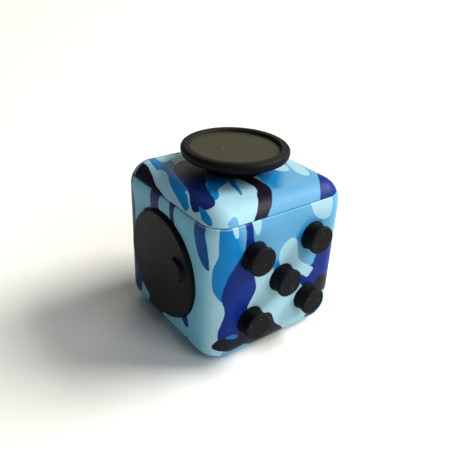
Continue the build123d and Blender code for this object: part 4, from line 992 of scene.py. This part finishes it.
FINISHES = {
    # soft rubber from a spark-eroded mould: a dead matt black that holds the most dust
    "black_soft": Moulded("tpe_black_spark_eroded", "08080b", "0f0f13", 0.6, 7.0, 0.012, dust=0.07),
    # hard plastic from a finer mould: smoother, with a broad satin highlight
    "black_gloss": Moulded("abs_black_satin_moulded", "07070c", "0d0d12", 0.52, 5.0, 0.006, dust=0.03),
    # slippery plastic of the moving teeth: a tighter highlight on each tooth
    "black_gear": Moulded("acetal_black_moulded", "0a0a0c", "111113", 0.42, 5.0, 0.006, dust=0.02),
    # undyed plastic of the inner pieces: milky white, a little yellowed in places
    "inner_plastic": Moulded("acetal_natural_moulded", "dedcd4", "cfcabd", 0.36, 4.0, 0.008, ior=1.48),
    # wire pulled through a die: bright grey with faint lines
    "spring_steel": Metal("music_wire_drawn", "a8a9ac", "8f8a80", 0.28, (5.0, 5.0, 5.0), 0.002),
    # plated screws and pins: a bluish silver that yellows in patches, with turning lines
    "zinc_steel": Metal("steel_zinc_plated_turned", "b9bcc2", "a9a48e", 0.3, (1.5, 9.0, 9.0), 0.003),
    # polished ball: almost a mirror
    "polished_steel": Metal("chrome_steel_ball_polished", "c6c7ca", "b9babd", 0.13, (2.0, 2.0, 2.0), 0.0004),
}


# ------------------------------------------------------------------------------------------------
# Pieces
# ------------------------------------------------------------------------------------------------


@dataclass(frozen=True)
class Flecks:
    """Loose pale lint and dust that clings to a dark rubber or plastic face."""

    name: str
    node: str
    body: str
    outward: tuple[float, float, float]
    spread: float  # mm from the middle of the face
    count: int
    seed: int
    smallest: float = 0.04
    largest: float = 0.13
    flatness: float = 0.22
    SLOT = "inner_plastic"
    CAST = 30.0  # mm off the face from where each place is sought

    def spots(self) -> list[tuple[Vector, Vector, float, float]]:
        """Picks where the flecks lie.

        Returns:
            For each fleck its point on the face, the face's direction there, its size and its turn.
        """
        draw = random.Random(self.seed)
        target = frame["nodes"][self.node]
        low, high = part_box(self.node)
        out = Vector(self.outward)
        middle = (low + high) / 2
        side = out.orthogonal().normalized()
        other = out.cross(side)
        found = []
        for _ in range(self.count):
            far = self.spread * MM * math.sqrt(draw.random())
            angle = draw.uniform(0, math.tau)
            size = draw.uniform(self.smallest, self.largest) * MM * draw.uniform(0.5, 1.0)
            turn = draw.uniform(0, math.tau)
            aside = side * far * math.cos(angle) + other * far * math.sin(angle)
            start = middle + out * self.CAST * MM + aside
            hit, spot, normal, _ = target.ray_cast(start, -out)
            if hit:
                found.append((spot, normal, size, turn))
        return found

    def build(self, material: bpy.types.Material) -> bpy.types.Object:
        """Makes the flecks as one piece and fixes them to their body.

        Args:
            material: the dust's finish.

        Returns:
            The piece.
        """
        draw = random.Random(self.seed + 1)
        mesh = bpy.data.meshes.new(self.name)
        bm = bmesh.new()
        for spot, normal, size, turn in self.spots():
            new = bmesh.ops.create_icosphere(bm, subdivisions=2, radius=size)["verts"]
            turned = normal.to_track_quat("Z", "Y").to_matrix().to_4x4() @ Matrix.Rotation(turn, 4, "Z")
            flat = Matrix.Diagonal((1.0, draw.uniform(0.45, 0.9), self.flatness, 1.0))
            for vert in new:
                vert.co *= draw.uniform(0.8, 1.15)
            sink = Matrix.Translation(spot - normal * size * self.flatness * 0.5)
            bmesh.ops.transform(bm, matrix=sink @ turned @ flat, verts=new)
        bm.to_mesh(mesh)
        bm.free()
        mesh.materials.append(material)
        piece = bpy.data.objects.new(self.name, mesh)
        bpy.context.scene.collection.objects.link(piece)
        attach(piece, self.body)
        log.info("piece %s: %d flecks on %s", self.name, self.count, self.node)
        return piece


class Wardrobe:
    """Makes each finish once and puts it on the CAD nodes."""

    def __init__(self) -> None:
        """Builds the plain finishes and notes which slot each node has in the record."""
        self.made = {slot: finish.material() for slot, finish in FINISHES.items()}
        self.slots = {part["node"]: part["material_slot"] for part in frame["record"]["subparts"]}
        self.lint = Moulded("cotton_lint", "b9bdb4", "9fa39c", 0.9, 20.0, 0.004).material()

    def dress(self, node: str, material: bpy.types.Material | None = None) -> None:
        """Puts a finish on a CAD node.

        Args:
            node: the node's name.
            material: the finish, or None for the plain finish of the node's own slot.
        """
        chosen = material or self.made[self.slots[node]]
        target = frame["nodes"][node]
        if not target.data.materials:
            target.data.materials.append(chosen)
        for slot in target.material_slots:
            slot.material = chosen
        log.info("node %s: %s", node, chosen.name)


@dataclass
class Casing:
    """The printed body and the lid that snaps on it."""

    corner: float = 5.2
    body_fold: float = 4.4
    lid_fold: float = 5.0
    lid_flat: float = 11.5

    def build(self, wardrobe: Wardrobe) -> None:
        """Prints the film on the body and on the cover.

        Args:
            wardrobe: what dresses the nodes.
        """
        flat = SIDE_HALF - self.corner
        fold = self.body_fold
        pool = self.corner - fold
        body = PrintedFilm("abs_body_film_printed", Face.WRAPPED, BODY_PATCHES, flat, fold, fold, pool)
        lid_name, flat, fold = "abs_cover_film_printed", self.lid_flat, self.lid_fold
        lid = PrintedFilm(lid_name, Face.FOLDED, COVER_PATCHES, flat, fold, LID_FOLD_Z, 0.0)
        wardrobe.dress("main_housing", body.material())
        wardrobe.dress("top_cover", lid.material())


@dataclass
class GlideFace:
    """The thumb pad that glides on crossed slides, with its retainer, screw and centring spring."""

    nodes: tuple[str, ...] = (
        "glide_pad", "glide_cross_slide", "glide_slider", "glide_screw", "glide_retainer", "retainer_screws",
        "glide_spring",
    )
    pad_finish: str = "tpe_black_dish_sheen_painted"
    # painted reflection: the olive sheen of the pad's dish
    dish_sheen_tone: str = "3a3a2b"
    dish_radius: float = 8.85
    dish_depth: float = 0.7
    dish_margin: float = 0.3  # mm below the dish's floor down to which the painted sheen may lie
    fleck_count: int = 16
    fleck_spread: float = 8.2
    seed: int = 11

    def build(self, wardrobe: Wardrobe) -> None:
        """Dresses the glide's nodes and dusts the pad.

        Args:
            wardrobe: what dresses the nodes.
        """
        for node in self.nodes:
            wardrobe.dress(node)
        plain = FINISHES["black_soft"]
        under_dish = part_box("glide_pad")[1].z / MM - self.dish_depth - self.dish_margin
        # the pad's finish carries a painted reflection: the dish's olive sheen
        wear_and_sheen = replace(
            plain,
            name=self.pad_finish,
            dish_sheen_colour=self.dish_sheen_tone,
            dish_radius=self.dish_radius,
            dish_z=under_dish,
        )
        wardrobe.dress("glide_pad", wear_and_sheen.material())
        up_way = (0.0, 0.0, 1.0)
        spread, count = self.fleck_spread, self.fleck_count
        dust = Flecks("pad_dust", "glide_pad", "glide", up_way, spread, count, self.seed)
        dust.build(wardrobe.lint)


@dataclass
class ClickFace:
    """Five push buttons with their springs, snap domes, backing plate and screws."""

    places: tuple[str, ...] = ("middle", "top_left", "top_right", "bottom_left", "bottom_right")
    backing: tuple[str, ...] = ("click_backplate", "click_screws", "snap_domes")
    fleck_spread: float = 2.3
    fleck_counts: tuple[int, ...] = (9, 3, 4, 5, 4)
    first_seed: int = 31

    def build(self, wardrobe: Wardrobe) -> None:
        """Dresses the buttons and what backs them, and dusts each button.

        Args:
            wardrobe: what dresses the nodes.
        """
        for node in self.backing:
            wardrobe.dress(node)
        for index, (place, count) in enumerate(zip(self.places, self.fleck_counts)):
            button = f"button_{place}"
            wardrobe.dress(button)
            wardrobe.dress(f"button_spring_{place}")
            seed = self.first_seed + index
            front_way = (0.0, -1.0, 0.0)
            dust = Flecks(f"{button}_dust", button, button, front_way, self.fleck_spread, count, seed)
            dust.build(wardrobe.lint)


@dataclass
class SpinFace:
    """The free-spinning disc with its thumb nub, washer and screw."""

    nodes: tuple[str, ...] = ("spin_disc", "spin_washer", "spin_screw")
    fleck_count: int = 7
    fleck_spread: float = 9.5
    seed: int = 53

    def build(self, wardrobe: Wardrobe) -> None:
        """Dresses the disc and dusts it lightly.

        Args:
            wardrobe: what dresses the nodes.
        """
        for node in self.nodes:
            wardrobe.dress(node)
        left_way = (-1.0, 0.0, 0.0)
        spread, count = self.fleck_spread, self.fleck_count
        dust = Flecks("disc_dust", "spin_disc", "spinner", left_way, spread, count, self.seed)
        dust.build(wardrobe.lint)


@dataclass
class FlipFace:
    """The rocker switch with its pin, frame, detent leaf and screws."""

    nodes: tuple[str, ...] = ("rocker", "rocker_pin", "rocker_frame", "rocker_leaf", "rocker_screws")

    def build(self, wardrobe: Wardrobe) -> None:
        """Dresses the rocker's nodes.

        Args:
            wardrobe: what dresses the nodes.
        """
        for node in self.nodes:
            wardrobe.dress(node)


@dataclass
class RollFace:
    """Three click wheels on an axle with their comb, and the sprung rolling ball."""

    wheels: tuple[str, ...] = ("roll_wheel_1", "roll_wheel_2", "roll_wheel_3")
    nodes: tuple[str, ...] = (
        "roll_axle", "roll_ball", "ball_seat", "ball_spring", "roll_bracket", "roll_comb", "bracket_screws",
    )

    def build(self, wardrobe: Wardrobe) -> None:
        """Dresses the wheels, the ball and what holds them.

        Args:
            wardrobe: what dresses the nodes.
        """
        for node in (*self.wheels, *self.nodes):
            wardrobe.dress(node)


# ------------------------------------------------------------------------------------------------
# Studio
# ------------------------------------------------------------------------------------------------


def toward(azimuth: float, elevation: float) -> Vector:
    """Gives the direction from the cube out to a light or the camera.

    Args:
        azimuth: degrees, 0 from the front and 90 from the right.
        elevation: degrees above the floor.

    Returns:
        The direction, one unit long.
    """
    turn, rise = math.radians(azimuth), math.radians(elevation)
    return Vector((math.sin(turn) * math.cos(rise), -math.cos(turn) * math.cos(rise), math.sin(rise)))


@dataclass(frozen=True)
class Softbox:
    """A square soft light aimed at the cube."""

    name: str
    azimuth: float  # degrees, 0 from the front and 90 from the right
    elevation: float
    distance: float
    size: float
    watts: float
    tint: str

    def build(self, aim: Vector) -> None:
        """Hangs the light and turns it to the cube.

        Args:
            aim: the point that it faces.
        """
        away = toward(self.azimuth, self.elevation)
        lamp = bpy.data.lights.new(self.name, "AREA")
        lamp.shape = "SQUARE"
        lamp.size = self.size
        lamp.energy = self.watts
        lamp.color = linear(self.tint)[:3]
        holder = bpy.data.objects.new(self.name, lamp)
        holder.location = aim + away * self.distance
        holder.rotation_euler = away.to_track_quat("Z", "Y").to_euler()
        bpy.context.scene.collection.objects.link(holder)
        log.info("light %s", self.name)


@dataclass(frozen=True)
class Viewpoint:
    """The camera: where it stands and how it is framed."""

    azimuth: float = -38.08
    elevation: float = 30.15
    roll: float = -2.96
    distance: float = 0.1194
    target: tuple[float, float, float] = (0.0, 0.0, 0.0165)
    pan: float = 0.419
    tilt: float = -0.484
    lens: float = 42.85

    def build(self) -> None:
        """Makes the camera and sets it as the scene's."""
        turn = math.radians(self.azimuth)
        back = toward(self.azimuth, self.elevation)
        right = Vector((math.cos(turn), math.sin(turn), 0.0))
        level = Matrix((right, back.cross(right), back))
        tilted = Matrix.Rotation(math.radians(self.tilt), 3, "X")
        panned = Matrix.Rotation(math.radians(self.pan), 3, "Y")
        rolled = Matrix.Rotation(math.radians(self.roll), 3, "Z")
        facing = (rolled @ (tilted @ panned) @ level).transposed()
        lens = bpy.data.cameras.new("view_camera")
        lens.lens = self.lens
        lens.clip_start, lens.clip_end = 0.005, 10.0
        camera = bpy.data.objects.new("view_camera", lens)
        camera.location = Vector(self.target) + back * self.distance
        camera.rotation_euler = facing.to_euler()
        bpy.context.scene.collection.objects.link(camera)
        bpy.context.scene.camera = camera
        log.info("camera at %s", tuple(round(v, 4) for v in camera.location))


@dataclass
class Studio:
    """A plain pale floor, soft lights and an even sky."""

    floor_half: float = 1.6
    floor_colour: str = "f0efe9"
    floor_fibre: str = "f4f3ee"
    fibre_per_mm: float = 1.4
    fibre_depth: float = 0.01
    sky: str = "e6f0ff"
    sky_strength: float = 0.12
    backdrop: str = "fbfbf8"
    lights: tuple[Softbox, ...] = (
        Softbox("window_key", 70.0, 40.0, 2.2, 1.1, 74.0, "fffdf8"),
        Softbox("far_window", 142.0, 30.0, 2.2, 1.3, 9.0, "fff6d0"),
        Softbox("front_fill", 14.0, 40.0, 2.4, 1.4, 22.0, "f4f9ff"),
    )

    def lay_floor(self) -> None:
        """Lays a wide sheet of matt paper under the cube."""
        bm = bmesh.new()
        bmesh.ops.create_grid(bm, x_segments=2, y_segments=2, size=self.floor_half)
        mesh = bpy.data.meshes.new("floor")
        bm.to_mesh(mesh)
        bm.free()
        floor = bpy.data.objects.new("floor", mesh)
        g = graph("paper_matt_white")
        fibre = g.noise(g.place(), self.fibre_per_mm, 4.0)
        colour = g.blend(g.step(fibre, 0.5, 3.0), linear(self.floor_colour), linear(self.floor_fibre))
        normal = g.bump(fibre, self.fibre_depth)
        shader = g.add("BsdfPrincipled", {"Base Color": colour, "Roughness": 0.85, "Normal": normal})
        mesh.materials.append(g.close(shader))
        bpy.context.scene.collection.objects.link(floor)

    def set_sky(self) -> None:
        """Sets a weak even sky, with a plain pale wall where it is seen straight."""
        world = bpy.data.worlds.new("even_sky")
        sky = Graph(world)
        glow = sky.add("Background", {"Color": linear(self.sky), "Strength": self.sky_strength})
        wall = sky.add("Background", {"Color": linear(self.backdrop), "Strength": 1.0})
        seen = sky.add("LightPath").outputs["Is Camera Ray"]
        both = sky.add("MixShader", {0: seen, 1: glow.outputs[0], 2: wall.outputs[0]})
        sky.close(both, "OutputWorld")
        bpy.context.scene.world = world

    def build(self) -> None:
        """Lays the floor, hangs the lights and sets the sky."""
        self.lay_floor()
        aim = Vector((0.0, 0.0, SIDE_HALF * MM))
        for light in self.lights:
            light.build(aim)
        self.set_sky()
        bpy.context.scene.view_settings.view_transform = "Standard"


def main() -> None:
    """Builds the cube's looks and the studio."""
    logging.basicConfig(level=logging.INFO, format="%(name)s %(message)s")
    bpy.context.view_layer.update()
    wardrobe = Wardrobe()
    for assembly in (Casing(), GlideFace(), ClickFace(), SpinFace(), FlipFace(), RollFace()):
        assembly.build(wardrobe)
    Studio().build()
    Viewpoint().build()


if __name__ == "__main__":
    main()
